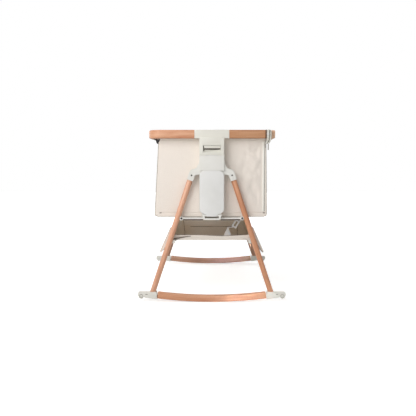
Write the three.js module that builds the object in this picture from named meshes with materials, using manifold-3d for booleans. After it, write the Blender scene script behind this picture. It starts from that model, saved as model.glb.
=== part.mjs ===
// A rocking bedside crib, in millimetres, +Z up, origin on the floor under its middle.
// X is its width (+X is the side that opens to the bed), Y its length (-Y is the near end).
// A fabric bassinet hangs from a wooden top rail. A column at each end carries it in a
// wooden A-frame on a curved rocker, and slides up in that frame to set the height.
import * as THREE from 'three';
import { mergeVertices } from 'three/addons/utils/BufferGeometryUtils.js';
import Module from 'manifold-3d';

const wasm = await Module();
wasm.setup();

// Clearances
const gap = 0.3;
const slideGap = 0.5;
const overrun = 4;

// Top rail
const railTop = 770.5;
const railHeight = 37;
const railThickness = 24;
const railHalfWidth = 281;
const railCornerRadius = 62;
const railBottom = railTop - railHeight;
const railInner = -7;
const railOuter = railInner + railThickness;
const tenonLength = 20;
const tenonHeight = 24;
const tenonThickness = 12;

// End frames of the stand
const standHalf = 448;
const legRadius = 12.3;
const legTopX = 97;
const legTopZ = 549;
const legFootX = 263.6;
const legFootZ = 53.6;
const legSocketDepth = 38;
const legFootDepth = 18;
const legRun = Math.hypot(legFootX - legTopX, legTopZ - legFootZ);
const legDown = { x: (legFootX - legTopX) / legRun, z: (legFootZ - legTopZ) / legRun };

// Rockers
const rockerRadius = 1950;
const rockerDepth = 30;
const rockerThickness = 24;
const rockerHalf = 247;
const rockerTongue = 22;
const rockerTongueDepth = 8;
const rockerTongueRise = 5;
const rockerTongueThickness = 12;
const rockerFacets = 11;
const rockerFacetAngle = 2 * Math.asin(rockerHalf / rockerRadius) / rockerFacets;
const rockerCentreZ = rockerRadius * Math.cos(rockerFacetAngle / 2);

// Rocker end sockets and their fold-down feet
const socketThickness = 30;
const socketLip = 3;
const socketShoulderZ = 43.5;
const socketCollarZ = 46.5;
const footPivotX = 318;
const footPivotZ = 28;
const footRadius = 9.6;
const footThickness = 10;
const footHalfDepth = 6;
const footPinRadius = 2.5;
const footPinInset = 1;
const footReach = footPivotZ - gap;

// Column: hub, sleeve, cover and shoe, with depths counted outward from the stand plane
const columnHalf = 54.5;
const hubTop = 659;
const hubBottom = 545;
const hubBack = -16;
const hubFront = 24;
const hubArmFront = 16;
const hubLowerFront = 17.5;
const hubSocketRadius = 14;
const hubShoulder = { x: 62, z: 616 };
const hubArmTop = { x: 86, z: 598 };
const hubArmBend = { x: 101, z: 580 };
const hubCrotch = { x: 60, z: 574 };
const hubFlareTop = 640;
const innerHalf = 28;
const innerDepth = 10;
const columnWall = 2.5;
const innerBottom = 410;
const sleeveHalf = innerHalf + slideGap + columnWall;
const sleeveDepth = innerDepth + slideGap + columnWall;
const sleeveBottom = 399;
const sleeveTop = 652;
const coverTop = 592;
const coverBottom = 400;
const coverChamfer = 15;
const coverTopRadius = 24;
const coverFront = 26;
const coverWall = 3;
const coverBack = -12;
const tongueHalf = 20.5;
const tongueBottom = 392.5;
const shoeTopHalf = 44;
const shoeBottomHalf = 36;
const shoeTop = sleeveBottom - gap;
const shoeBottom = 374;
const shoeSlotHalf = 31;
const shoeSlotBottom = 381.5;
const shoeSlotTop = 390.5;
const shoeFront = 24;
const shoeBack = -12;
const crossbarRadius = 4.5;
const crossbarZ = 379;
const crossbarRoot = 4;
const lugX = 135.5;
const lugRadius = 8.5;
const lugDepth = 7;
const screwRadius = 2.6;
const screwHead = 3.6;
const screwHeadDepth = 1.6;
const hubScrewRun = 23.6;

// Height latch
const heightTravel = 150;
const heightSteps = 6;
const boltZ = 430;
const boltHalfWidth = 7;
const boltHalfHeight = 5;
const boltBack = -3.2;
const notchClearance = 0.4;
const camSlope = 0.5;
const camY = 2;
const camHalfThickness = 1.5;
const camHalfWidth = 2;
const camLow = 15;
const camHigh = 7;
const rodBack = 3.6;
const rodFront = 6.9;

// Upper housing and its pull handle
const housingBottom = 659.8;
const housingBack = -19.7;
const connectorHalf = 76.6;
const recessHalf = 38.7;
const recessBottom = 673;
const recessTop = 702;
const recessDepth = 12.4;
const recessLip = 1.6;
const handleTravel = 8;
const handleHalf = 37.6;
const handleBottom = 690;
const handleHeight = 11;
const handleFront = 22;
const handleBack = 14.5;

// Fabric body
const panelThickness = 6;
const panelOut = -20;
const panelTop = 731;
const panelBottom = 388;
const bodyTopLeft = -236;
const bodyTopRight = 241;
const bodyBottomLeft = -257;
const bodyBottomRight = 248;
const panelCornerRadius = 16;
const flangeThickness = 3;
const flangeLap = 12;
const flangeTop = railBottom - gap;
const flangeBottom = flangeTop - flangeThickness;

// Base and mattress
const frameBottom = 388.5;
const frameHeight = 13;
const frameBar = 14;
const crossBarY = 380;
const boardThickness = 4;
const boardInset = 2;
const mattressThickness = 50;
const mattressEndRoom = 5.5;
const mattressSideRoom = 4.5;
const mattressCrown = 5;
const mattressDraw = 6;

// Opening side
const dropRailInner = 257;
const dropRailHalf = 438;
const bracketEnd = 263;
const bracketArmOuter = 252;
const bracketArmLength = 65;
const bracketArmHalf = standHalf + railOuter - bracketArmLength;
const bracketStart = 236.6;
const bracketRadius = 20;
const grooveDepth = 4;
const grooveTop = 760;
const tongueY = 420;
const tongueHalfY = 4.7;
const tongueBase = 742;
const catchY = 421;
const catchHalfY = 16;
const catchBottom = 738;
const catchTop = 766;
const buttonX = 246;
const buttonZ = 752;
const buttonRadius = 6;
const buttonProud = 3;
const buttonDepth = 5.4;
const flangeInset = 6;
const flangeHalf = bracketArmHalf - flangeInset;
const flangeReach = 274;
const zipX = 239.5;
const zipHalf = 3.6;
const zipZ = 715;
const zipHeight = 14;
const zipThickness = 4;
const zipPullLength = 22;
const zipPullThickness = 1.6;
const zipPullHalf = 2.2;

// Storage basket between the end frames
const basketHalfLength = 430;
const basketCornerX = 238;
const basketCornerZ = 217;
const basketWallTopX = 186;
const basketWallTopZ = 335;
const basketWallSag = 30;
const basketHemHalf = 150;
const basketHemEnd = 165;
const basketHemBottom = 277;
const basketHemTop = 300;
const basketFloor = 225;
const basketWall = 4;
const basketRows = 12;
const basketPower = 1.2;
const clipX = 171;
const clipZ = 273;
const clipHalf = 6;
const clipHeight = 15;

// Side hooks of the fabric, and the strap under the base
const hookHalf = 8;
const hookPlate = 2;
const hookTab = 3;
const hookDrop = 25;
const hookSpan = 395;
const hookPlaces = [-hookSpan, 0, hookSpan];
const strapY = 380;
const strapHalf = 10;
const strapThickness = 2;
const strapTop = { x: 133, z: frameBottom - gap };
const strapBend = { x: strapTop.x, z: 374 };
const buckleTop = { x: 119, z: 351 };
const buckleEnd = { x: 102, z: 323 };
const strapDrop = { x: 90, z: 306 };
const strapTail = { x: 66, z: 292 };
const buckleThickness = 8;
const buckleHalf = 13;

// Material colours
const wood = { color: 0xd8a27f, roughness: 0.5, metalness: 0 };
const plastic = { color: 0xdedcd0, roughness: 0.45, metalness: 0 };
const coverPlastic = { color: 0xe1dfdb, roughness: 0.4, metalness: 0 };
const cloth = { color: 0xe9e0d4, roughness: 0.95, metalness: 0 };
const taupe = { color: 0x85745f, roughness: 0.95, metalness: 0 };
const steel = { color: 0x55534f, roughness: 0.4, metalness: 1 };
const paintedSteel = { color: 0xe6e4dd, roughness: 0.4, metalness: 0.2 };
const aluminium = { color: 0xb9bbbc, roughness: 0.4, metalness: 1 };
const darkPlastic = { color: 0x2d2a28, roughness: 0.6, metalness: 0 };
const board = { color: 0xb08a62, roughness: 0.8, metalness: 0 };

// Geometry in, manifold solid out, and back
function solid(geometry) {
  const plain = geometry.index ? geometry.toNonIndexed() : geometry.clone();
  plain.deleteAttribute('normal');
  plain.deleteAttribute('uv');
  const merged = mergeVertices(plain, 1e-4);
  const mesh = new wasm.Mesh({
    numProp: 3,
    vertProperties: new Float32Array(merged.attributes.position.array),
    triVerts: new Uint32Array(merged.index.array),
  });
  return new wasm.Manifold(mesh);
}

function geometryOf(manifold) {
  const mesh = manifold.getMesh();
  const geometry = new THREE.BufferGeometry();
  geometry.setAttribute('position', new THREE.BufferAttribute(mesh.vertProperties, 3));
  geometry.setIndex(new THREE.BufferAttribute(mesh.triVerts, 1));
  geometry.computeVertexNormals();
  return geometry;
}

function joined(solids) {
  return solids.reduce((sum, next) => sum.add(next));
}

function cut(body, tools) {
  return tools.reduce((left, tool) => left.subtract(tool), body);
}

// A box between two limits on each axis
function box(x, y, z) {
  const size = [x, y, z].map(([a, b]) => Math.abs(b - a));
  const geometry = new THREE.BoxGeometry(...size);
  geometry.translate((x[0] + x[1]) / 2, (y[0] + y[1]) / 2, (z[0] + z[1]) / 2);
  return solid(geometry);
}

// Limits on the outward axis of an end: side is -1 at the near end and 1 at the far end
function out(side, from, to) {
  return side > 0 ? [from, to] : [-to, -from];
}

// An outline drawn in X and Z, extruded along Y between two limits
function plateXZ(shape, y, curveSegments = 6) {
  const geometry = new THREE.ExtrudeGeometry(shape, {
    depth: y[1] - y[0], bevelEnabled: false, curveSegments,
  });
  geometry.rotateX(Math.PI / 2);
  geometry.translate(0, y[1], 0);
  return solid(geometry);
}

// An outline drawn in X and Y, extruded upward between two limits
function plateXY(shape, z, curveSegments = 6) {
  const geometry = new THREE.ExtrudeGeometry(shape, {
    depth: z[1] - z[0], bevelEnabled: false, curveSegments,
  });
  geometry.translate(0, 0, z[0]);
  return solid(geometry);
}

// An outline drawn in Y and Z, extruded along X between two limits
function plateYZ(shape, x) {
  const geometry = new THREE.ExtrudeGeometry(shape, { depth: x[1] - x[0], bevelEnabled: false });
  const turn = new THREE.Matrix4().makeBasis(
    new THREE.Vector3(0, 1, 0), new THREE.Vector3(0, 0, 1), new THREE.Vector3(1, 0, 0),
  );
  geometry.applyMatrix4(turn);
  geometry.translate(x[0], 0, 0);
  return solid(geometry);
}

function polygon(points) {
  return new THREE.Shape(points.map((p) => new THREE.Vector2(p.x, p.z)));
}

function planPolygon(points) {
  return new THREE.Shape(points.map((p) => new THREE.Vector2(p.x, p.y)));
}

// A round bar from one point to another
function rod(from, to, radius, sides = 20) {
  const a = new THREE.Vector3(...from);
  const b = new THREE.Vector3(...to);
  const along = b.clone().sub(a);
  const geometry = new THREE.CylinderGeometry(radius, radius, along.length(), sides);
  const turn = new THREE.Quaternion().setFromUnitVectors(
    new THREE.Vector3(0, 1, 0), along.clone().normalize(),
  );
  geometry.applyQuaternion(turn);
  geometry.translate(...a.clone().add(b).divideScalar(2).toArray());
  return solid(geometry);
}

// A point on the leg's centre line, a distance down from the hub socket's mouth
function legPoint(hand, distance) {
  return { x: hand * (legTopX + legDown.x * distance), z: legTopZ + legDown.z * distance };
}

function node(name, material, content) {
  const geometry = content instanceof THREE.BufferGeometry ? content : geometryOf(content);
  const mesh = new THREE.Mesh(geometry, new THREE.MeshStandardMaterial(material));
  mesh.name = name;
  return mesh;
}

// Rocker arcs: a ring segment between two radii, with straight facets
function rockerArc(inner, outer, half, y, facets) {
  const points = [];
  const step = 2 * half / facets;
  for (let i = 0; i <= facets; i += 1) {
    const angle = -half + i * step;
    points.push({ x: outer * Math.sin(angle), z: rockerCentreZ - outer * Math.cos(angle) });
  }
  for (let i = facets; i >= 0; i -= 1) {
    const angle = -half + i * step;
    points.push({ x: inner * Math.sin(angle), z: rockerCentreZ - inner * Math.cos(angle) });
  }
  return plateXZ(polygon(points), y);
}

const rockerHalfAngle = rockerFacetAngle * rockerFacets / 2;
const tongueHalfAngle = Math.asin((rockerHalf + rockerTongue) / rockerRadius);
const tongueOuter = rockerRadius - rockerTongueRise;

function rockerTongueArc(clearance) {
  const half = tongueHalfAngle + clearance / rockerRadius;
  const y = [-rockerTongueThickness / 2 - clearance, rockerTongueThickness / 2 + clearance];
  const inner = tongueOuter - rockerTongueDepth - clearance;
  return rockerArc(inner, tongueOuter + clearance, half, y, rockerFacets);
}

function rocker() {
  const y = [-rockerThickness / 2, rockerThickness / 2];
  const bar = rockerArc(rockerRadius - rockerDepth, rockerRadius, rockerHalfAngle, y, rockerFacets);
  return bar.add(rockerTongueArc(0));
}

// Height of the rocker's underside at a distance from the middle
function rockerZ(x) {
  return rockerCentreZ - Math.sqrt(rockerRadius * rockerRadius - x * x);
}

function rockerSocket(hand) {
  const inner = rockerHalf + gap;
  const collar = legPoint(1, legRun).x + hubSocketRadius + socketLip;
  const lobe = footRadius + socketLip;
  const notch = footPivotX - lobe - socketLip;
  const outside = footPivotX + lobe + socketLip;
  const lobeStart = Math.PI + Math.atan2(socketLip, lobe) * 1.5;
  const outline = new THREE.Shape();
  outline.moveTo(inner, rockerZ(inner) - socketLip);
  outline.lineTo(notch, rockerZ(notch) - socketLip);
  outline.lineTo(footPivotX + lobe * Math.cos(lobeStart), footPivotZ + lobe * Math.sin(lobeStart));
  outline.absarc(footPivotX, footPivotZ, lobe, lobeStart, 2 * Math.PI, false);
  outline.lineTo(outside, footPivotZ);
  outline.lineTo(outside, socketShoulderZ - 2 * socketLip);
  outline.quadraticCurveTo(outside, socketShoulderZ, outside - 2 * socketLip, socketShoulderZ);
  outline.lineTo(collar + socketLip, socketShoulderZ);
  outline.lineTo(collar, socketCollarZ);
  outline.lineTo(inner + socketLip, socketCollarZ);
  outline.lineTo(inner, socketCollarZ - 2 * socketLip);
  const half = socketThickness / 2;
  const body = plateXZ(outline, [-half, half], 8);
  const top = legPoint(1, legRun - 2 * legFootDepth);
  const end = legPoint(1, legRun + legFootDepth + gap);
  const bore = rod([top.x, 0, top.z], [end.x, 0, end.z], legRadius + gap, 24);
  const slotHalf = footThickness / 2 + gap;
  const slot = box(
    [footPivotX - footReach - gap, footPivotX + 2 * footRadius],
    [-slotHalf, slotHalf],
    [0, footPivotZ + footHalfDepth + gap],
  );
  const knuckle = rod([footPivotX, -slotHalf, footPivotZ], [footPivotX, slotHalf, footPivotZ],
    footRadius + gap, 24);
  const pin = rod([footPivotX, -half - overrun, footPivotZ], [footPivotX, half + overrun, footPivotZ],
    footPinRadius + gap, 16);
  const right = cut(body, [bore, slot, knuckle, pin, rockerTongueArc(gap)]);
  return turned(right, hand);
}

// The right-hand solid as it is, or turned half round to the left
function turned(right, hand) {
  if (hand > 0) {
    return right;
  }
  const geometry = geometryOf(right);
  geometry.rotateZ(Math.PI);
  return solid(geometry);
}

function foot() {
  const half = footThickness / 2;
  const tip = footReach - footHalfDepth;
  const outline = new THREE.Shape();
  outline.moveTo(0, -footHalfDepth);
  outline.lineTo(-tip, -footHalfDepth);
  outline.absarc(-tip, 0, footHalfDepth, -Math.PI / 2, Math.PI / 2, true);
  outline.lineTo(0, footHalfDepth);
  const arm = plateXZ(outline, [-half, half], 8);
  const head = rod([0, -half, 0], [0, half, 0], footRadius, 24);
  const pinHalf = socketThickness / 2 - footPinInset;
  const pin = rod([0, -pinHalf, 0], [0, pinHalf, 0], footPinRadius, 16);
  return joined([arm, head, pin]);
}

function leg(hand) {
  const top = legPoint(hand, -legSocketDepth);
  const end = legPoint(hand, legRun + legFootDepth);
  return rod([top.x, 0, top.z], [end.x, 0, end.z], legRadius, 28);
}

// Y-shaped hub on top of the two legs
function hubArm(hand) {
  const across = { x: -legDown.z, z: legDown.x };
  const mouth = legPoint(1, 0);
  const inside = legPoint(1, -hubSocketRadius - 2 * overrun);
  const outline = new THREE.Shape();
  outline.moveTo(0, hubFlareTop);
  outline.lineTo(columnHalf, hubFlareTop);
  outline.quadraticCurveTo(columnHalf + overrun / 2, hubShoulder.z + overrun, hubShoulder.x, hubShoulder.z);
  outline.quadraticCurveTo(hubShoulder.x + overrun, hubArmTop.z + overrun / 2, hubArmTop.x, hubArmTop.z);
  outline.quadraticCurveTo(hubArmBend.x - overrun, hubArmTop.z - overrun, hubArmBend.x, hubArmBend.z);
  outline.lineTo(mouth.x + across.x * hubSocketRadius, mouth.z + across.z * hubSocketRadius);
  outline.lineTo(mouth.x - across.x * hubSocketRadius, mouth.z - across.z * hubSocketRadius);
  outline.lineTo(inside.x - across.x * hubSocketRadius, inside.z - across.z * hubSocketRadius);
  outline.quadraticCurveTo(inside.x - hubSocketRadius, hubCrotch.z, hubCrotch.x, hubCrotch.z);
  outline.lineTo(columnHalf - overrun, hubCrotch.z);
  outline.lineTo(0, hubCrotch.z);
  const points = outline.getPoints(5).map((p) => ({ x: hand * p.x, z: p.y }));
  return points;
}

function legHub(side) {
  const armY = out(side, hubBack, hubArmFront);
  const arms = [-1, 1].map((hand) => plateXZ(polygon(hubArm(hand)), armY));
  const core = box([-columnHalf + coverWall, columnHalf - coverWall],
    out(side, hubBack, hubLowerFront), [hubBottom, hubFlareTop]);
  const upper = box([-columnHalf, columnHalf], out(side, hubBack, hubFront),
    [coverTop + gap, hubTop]);
  const pocket = box([-sleeveHalf - gap, sleeveHalf + gap],
    out(side, -sleeveDepth - gap, sleeveDepth + gap), [hubBottom - overrun, sleeveTop + gap]);
  const mouth = box([-innerHalf - slideGap, innerHalf + slideGap],
    out(side, -innerDepth - slideGap, innerDepth + slideGap), [sleeveTop, hubTop + overrun]);
  const bores = [-1, 1].map((hand) => {
    const top = legPoint(hand, -legSocketDepth - gap);
    const end = legPoint(hand, overrun * 2);
    return rod([top.x, 0, top.z], [end.x, 0, end.z], legRadius + gap, 28);
  });
  const screws = [-1, 1].map((hand) => hubScrew(side, hand, gap));
  return cut(joined([core, upper, ...arms]), [pocket, mouth, ...bores, ...screws]);
}

function hubScrew(side, hand, clearance) {
  const at = legPoint(hand, -hubScrewRun);
  const head = out(side, hubArmFront - screwHeadDepth - clearance, hubArmFront + 4 * clearance);
  const shank = out(side, legRadius + gap + 2 * gap, hubArmFront - screwHeadDepth);
  const parts = [rod([at.x, head[0], at.z], [at.x, head[1], at.z], screwHead + clearance, 16)];
  parts.push(rod([at.x, shank[0] - clearance, at.z], [at.x, shank[1] + clearance, at.z],
    screwRadius + clearance, 12));
  return joined(parts);
}

function hubScrewSolid(side, hand) {
  const at = legPoint(hand, -hubScrewRun);
  const from = side * (legRadius + gap + 2 * gap);
  const neck = side * (hubArmFront - screwHeadDepth);
  const face = side * hubArmFront;
  const shank = rod([at.x, from, at.z], [at.x, neck + side * gap, at.z], screwRadius, 12);
  return shank.add(rod([at.x, neck, at.z], [at.x, face, at.z], screwHead, 16));
}

function sleeve(side) {
  const outer = box([-sleeveHalf, sleeveHalf], out(side, -sleeveDepth, sleeveDepth),
    [sleeveBottom, sleeveTop]);
  const bore = box([-innerHalf - slideGap, innerHalf + slideGap],
    out(side, -innerDepth - slideGap, innerDepth + slideGap),
    [sleeveBottom - overrun, sleeveTop + overrun]);
  const pitch = heightTravel / heightSteps;
  const notches = [];
  for (let i = 0; i <= heightSteps; i += 1) {
    const z = boltZ + i * pitch;
    notches.push(box([-boltHalfWidth - notchClearance, boltHalfWidth + notchClearance],
      out(side, innerDepth, sleeveDepth + overrun),
      [z - boltHalfHeight - notchClearance, z + boltHalfHeight + notchClearance]));
  }
  return cut(outer, [bore, ...notches]);
}

function roundedTop(half, bottom, top, radius, chamfer) {
  const outline = new THREE.Shape();
  outline.moveTo(-half, bottom + chamfer);
  outline.lineTo(-half + chamfer, bottom);
  outline.lineTo(half - chamfer, bottom);
  outline.lineTo(half, bottom + chamfer);
  outline.lineTo(half, top - radius);
  outline.absarc(half - radius, top - radius, radius, 0, Math.PI / 2, false);
  outline.lineTo(-half + radius, top);
  outline.absarc(-half + radius, top - radius, radius, Math.PI / 2, Math.PI, false);
  return outline;
}

function columnCover(side) {
  const outer = plateXZ(roundedTop(columnHalf, coverBottom, coverTop, coverTopRadius, coverChamfer),
    out(side, coverBack, coverFront));
  const inner = plateXZ(
    roundedTop(columnHalf - coverWall, coverBottom + coverWall, coverTop - coverWall,
      coverTopRadius - coverWall, coverChamfer),
    out(side, coverBack - overrun, coverFront - coverWall),
  );
  const hubRoom = box([-columnHalf - overrun, columnHalf + overrun],
    out(side, coverBack - overrun, hubLowerFront + gap), [hubBottom - 2 * overrun, coverTop + overrun]);
  const lip = box([-tongueHalf, tongueHalf], out(side, coverFront - coverWall, coverFront),
    [tongueBottom, coverBottom + coverWall]);
  const sleeveRoom = box([-sleeveHalf - gap, sleeveHalf + gap],
    out(side, coverBack - overrun, sleeveDepth + gap), [coverBottom - overrun, coverBottom + 2 * coverWall]);
  return cut(outer, [inner, hubRoom, sleeveRoom]).add(lip);
}

function columnShoe(side) {
  const outline = polygon([
    { x: -shoeBottomHalf, z: shoeBottom },
    { x: shoeBottomHalf, z: shoeBottom },
    { x: shoeTopHalf, z: shoeTop },
    { x: -shoeTopHalf, z: shoeTop },
  ]);
  const body = plateXZ(outline, out(side, shoeBack, shoeFront));
  const slot = box([-shoeSlotHalf, shoeSlotHalf],
    out(side, shoeBack - overrun, shoeFront + overrun), [shoeSlotBottom, shoeSlotTop]);
  const tongueRoom = box([-tongueHalf - gap, tongueHalf + gap],
    out(side, coverFront - coverWall - gap, shoeFront + overrun), [tongueBottom - gap, shoeTop + overrun]);
  return cut(body, [slot, tongueRoom]);
}

// Where the shoe's slanted cheek stands at the height of the crossbar
const cheekX = shoeBottomHalf
  + (shoeTopHalf - shoeBottomHalf) * (crossbarZ - shoeBottom) / (shoeTop - shoeBottom);

function crossbarRod(hand) {
  const start = cheekX - crossbarRoot;
  return rod([hand * start, 0, crossbarZ], [hand * lugX, 0, crossbarZ], crossbarRadius, 16);
}

// Distance down the leg at which its centre line stands at a height
function legRunAt(z) {
  return (z - legTopZ) / legDown.z;
}

// One casting: the shoe under the column and an arm with a screw lug out to each leg
function crossbar(side) {
  const halves = [-1, 1].map((hand) => {
    const lug = rod([hand * lugX, -lugDepth, crossbarZ], [hand * lugX, lugDepth, crossbarZ],
      lugRadius, 20);
    const legAt = legPoint(1, legRunAt(crossbarZ));
    const saddle = box(hand > 0 ? [lugX, legAt.x] : [-legAt.x, -lugX], [-lugDepth, lugDepth],
      [crossbarZ - lugRadius / 2, crossbarZ + lugRadius / 2]);
    const above = legPoint(hand, legRunAt(crossbarZ + 2 * lugRadius));
    const below = legPoint(hand, legRunAt(crossbarZ - 2 * lugRadius));
    const legRoom = rod([above.x, 0, above.z], [below.x, 0, below.z], legRadius + gap, 28);
    const recess = rod([hand * lugX, side * (lugDepth - screwHeadDepth), crossbarZ],
      [hand * lugX, side * (lugDepth + overrun), crossbarZ], screwHead, 16);
    return cut(joined([crossbarRod(hand), lug, saddle]), [legRoom, recess]);
  });
  return joined([columnShoe(side), ...halves]);
}

// Bassinet column
function innerColumn(side) {
  const top = railBottom - 2 * columnWall;
  const outer = box([-innerHalf, innerHalf], out(side, -innerDepth, innerDepth), [innerBottom, top]);
  const bore = box([-innerHalf + columnWall, innerHalf - columnWall],
    out(side, -innerDepth + columnWall, innerDepth - columnWall), [innerBottom - overrun, top + overrun]);
  const boltWindow = box([-boltHalfWidth - notchClearance, boltHalfWidth + notchClearance],
    out(side, 0, innerDepth + overrun),
    [boltZ - boltHalfHeight - notchClearance, boltZ + boltHalfHeight + notchClearance]);
  const stemWindow = box([-camHalfWidth - notchClearance, camHalfWidth + notchClearance],
    out(side, 0, innerDepth + overrun),
    [handleBottom - notchClearance, handleBottom + handleHeight + handleTravel + notchClearance]);
  return cut(outer, [bore, boltWindow, stemWindow]);
}

// Slanted tongue at the rod's foot, which draws the bolt in as the rod rises
function camOutline(side, clearance, low, high) {
  const half = (camHalfThickness + clearance) * Math.hypot(1, camSlope);
  const point = (z, shift) => ({
    x: side * (camY + camSlope * (z - boltZ) + shift), z,
  });
  return polygon([point(low, -half), point(low, half), point(high, half), point(high, -half)]);
}

function releaseHandle(side) {
  const bar = box([-handleHalf, handleHalf], out(side, handleBack, handleFront),
    [handleBottom, handleBottom + handleHeight]);
  const stem = box([-camHalfWidth, camHalfWidth], out(side, rodBack, handleBack + camHalfWidth),
    [handleBottom, handleBottom + handleHeight]);
  const pull = box([-camHalfWidth, camHalfWidth], out(side, rodBack, rodFront),
    [boltZ + camHigh - camHalfWidth, handleBottom + handleHeight]);
  const cam = plateYZ(camOutline(side, 0, boltZ - camLow, boltZ + camHigh), [-camHalfWidth, camHalfWidth]);
  return joined([bar, stem, pull, cam]);
}

function latchBolt(side) {
  const block = box([-boltHalfWidth, boltHalfWidth], out(side, boltBack, sleeveDepth),
    [boltZ - boltHalfHeight, boltZ + boltHalfHeight]);
  const slot = plateYZ(
    camOutline(side, gap, boltZ - camLow - overrun, boltZ + camHigh + overrun),
    [-camHalfWidth - gap, camHalfWidth + gap],
  );
  const rodRoom = box([-camHalfWidth - gap, camHalfWidth + gap],
    out(side, rodBack - gap, rodFront + gap), [boltZ + camHigh - camHalfWidth - gap, boltZ + 2 * camHigh]);
  return cut(block, [slot, rodRoom]);
}

function housing(side) {
  const body = box([-columnHalf, columnHalf], out(side, housingBack, hubFront),
    [housingBottom, railBottom + overrun]);
  const columnRoom = box([-innerHalf - gap, innerHalf + gap],
    out(side, -innerDepth - gap, innerDepth + gap),
    [housingBottom - overrun, railBottom - 2 * columnWall + gap]);
  const face = box([-recessHalf, recessHalf], out(side, hubFront - recessDepth, hubFront + overrun),
    [recessBottom, recessTop]);
  const pocket = box([-recessHalf, recessHalf],
    out(side, hubFront - recessDepth, hubFront - recessLip),
    [recessBottom, handleBottom + handleHeight + handleTravel + gap]);
  const stemRoom = box([-camHalfWidth - notchClearance, camHalfWidth + notchClearance],
    out(side, 0, hubFront - recessDepth + overrun),
    [handleBottom - notchClearance, handleBottom + handleHeight + handleTravel + notchClearance]);
  return joined([cut(body, [columnRoom, face, pocket, stemRoom]), railConnector(side)]);
}

// The rail's section, placed on the stand plane
const railMidZ = railBottom + railHeight / 2;

function tenon(side, x, clearance) {
  const middle = (railInner + railOuter) / 2;
  const half = tenonThickness / 2 + clearance;
  const halfHeight = tenonHeight / 2 + clearance;
  return box(x, out(side, middle - half, middle + half), [railMidZ - halfHeight, railMidZ + halfHeight]);
}

function railConnector(side) {
  const block = box([-connectorHalf, connectorHalf], out(side, railInner - gap, railOuter + gap),
    [railBottom, railTop]);
  const left = tenon(side, [-connectorHalf - overrun, -connectorHalf + tenonLength + gap], gap);
  const right = tenon(side, [connectorHalf - tenonLength - gap, connectorHalf + overrun], gap);
  return cut(block, [left, right]);
}

function rightRail(side) {
  const start = connectorHalf + gap;
  const end = bracketStart - gap;
  const bar = box([start, end], out(side, railInner, railOuter), [railBottom, railTop]);
  return joined([
    bar,
    tenon(side, [start - tenonLength + gap, start + overrun], 0),
    tenon(side, [end - overrun, end + tenonLength / 2], 0),
  ]);
}

// U-shaped rail round the left side, drawn in plan
function leftRail() {
  const outer = standHalf + railOuter;
  const inner = standHalf + railInner;
  const start = -connectorHalf - gap;
  const innerRadius = railCornerRadius - railThickness;
  const outline = new THREE.Shape();
  outline.moveTo(start, -outer);
  outline.lineTo(start, -inner);
  outline.lineTo(-railHalfWidth + railCornerRadius, -inner);
  outline.absarc(-railHalfWidth + railCornerRadius, -outer + railCornerRadius, innerRadius,
    -Math.PI / 2, -Math.PI, true);
  outline.lineTo(-railHalfWidth + railThickness, outer - railCornerRadius);
  outline.absarc(-railHalfWidth + railCornerRadius, outer - railCornerRadius, innerRadius,
    Math.PI, Math.PI / 2, true);
  outline.lineTo(start, inner);
  outline.lineTo(start, outer);
  outline.lineTo(-railHalfWidth + railCornerRadius, outer);
  outline.absarc(-railHalfWidth + railCornerRadius, outer - railCornerRadius, railCornerRadius,
    Math.PI / 2, Math.PI, false);
  outline.lineTo(-railHalfWidth, -outer + railCornerRadius);
  outline.absarc(-railHalfWidth + railCornerRadius, -outer + railCornerRadius, railCornerRadius,
    Math.PI, 3 * Math.PI / 2, false);
  const bar = plateXY(outline, [railBottom, railTop], 8);
  const tenons = [-1, 1].map((side) => {
    const middle = side * (standHalf + (railInner + railOuter) / 2);
    return box([start - overrun, start + tenonLength - gap],
      [middle - tenonThickness / 2, middle + tenonThickness / 2],
      [railMidZ - tenonHeight / 2, railMidZ + tenonHeight / 2]);
  });
  return joined([bar, ...tenons]);
}

// Corner bracket on the opening side: an arm on the end rail and one along the side
function cornerBracket(side) {
  const outer = standHalf + railOuter;
  const outline = new THREE.Shape();
  const armEnd = bracketArmHalf;
  const bend = standHalf + railInner;
  outline.moveTo(bracketStart, armEnd);
  outline.lineTo(bracketArmOuter, armEnd);
  outline.lineTo(bracketArmOuter, bend);
  outline.lineTo(bracketEnd, bend);
  outline.lineTo(bracketEnd, outer - bracketRadius);
  outline.absarc(bracketEnd - bracketRadius, outer - bracketRadius, bracketRadius, 0, Math.PI / 2, false);
  outline.lineTo(bracketStart, outer);
  const points = outline.getPoints(6).map((p) => ({ x: p.x, y: side * p.y }));
  const body = plateXY(planPolygon(points), [railBottom, railTop]);
  const groove = box([bracketArmOuter - grooveDepth, bracketArmOuter + overrun],
    [side * tongueY - tongueHalfY - gap, side * tongueY + tongueHalfY + gap],
    [railBottom - overrun, grooveTop]);
  const middle = standHalf + (railInner + railOuter) / 2;
  const half = tenonThickness / 2 + gap;
  const pocket = box([bracketStart - overrun, bracketStart + tenonLength / 2],
    [side * middle - half, side * middle + half],
    [railMidZ - tenonHeight / 2 - gap, railMidZ + tenonHeight / 2 + gap]);
  const buttonRoom = rod([buttonX, side * (outer - buttonDepth), buttonZ],
    [buttonX, side * (outer + overrun), buttonZ], buttonRadius + gap, 20);
  return cut(body, [groove, pocket, buttonRoom]);
}

function catchButton(side) {
  const outer = railOuter;
  const travel = buttonProud + gap;
  return rod([buttonX, side * (outer - buttonDepth + travel), buttonZ],
    [buttonX, side * (outer + buttonProud), buttonZ], buttonRadius, 20);
}

function dropRail() {
  return box([dropRailInner, railHalfWidth], [-dropRailHalf, dropRailHalf], [railBottom, railTop]);
}

function railCatch(side) {
  const body = box([bracketArmOuter + gap, dropRailInner - gap],
    out(side, catchY - catchHalfY, catchY + catchHalfY), [catchBottom, catchTop]);
  const tongue = box([bracketArmOuter - grooveDepth + gap, dropRailInner - gap],
    [side * tongueY - tongueHalfY, side * tongueY + tongueHalfY], [tongueBase, grooveTop - gap]);
  return body.add(tongue);
}

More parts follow.
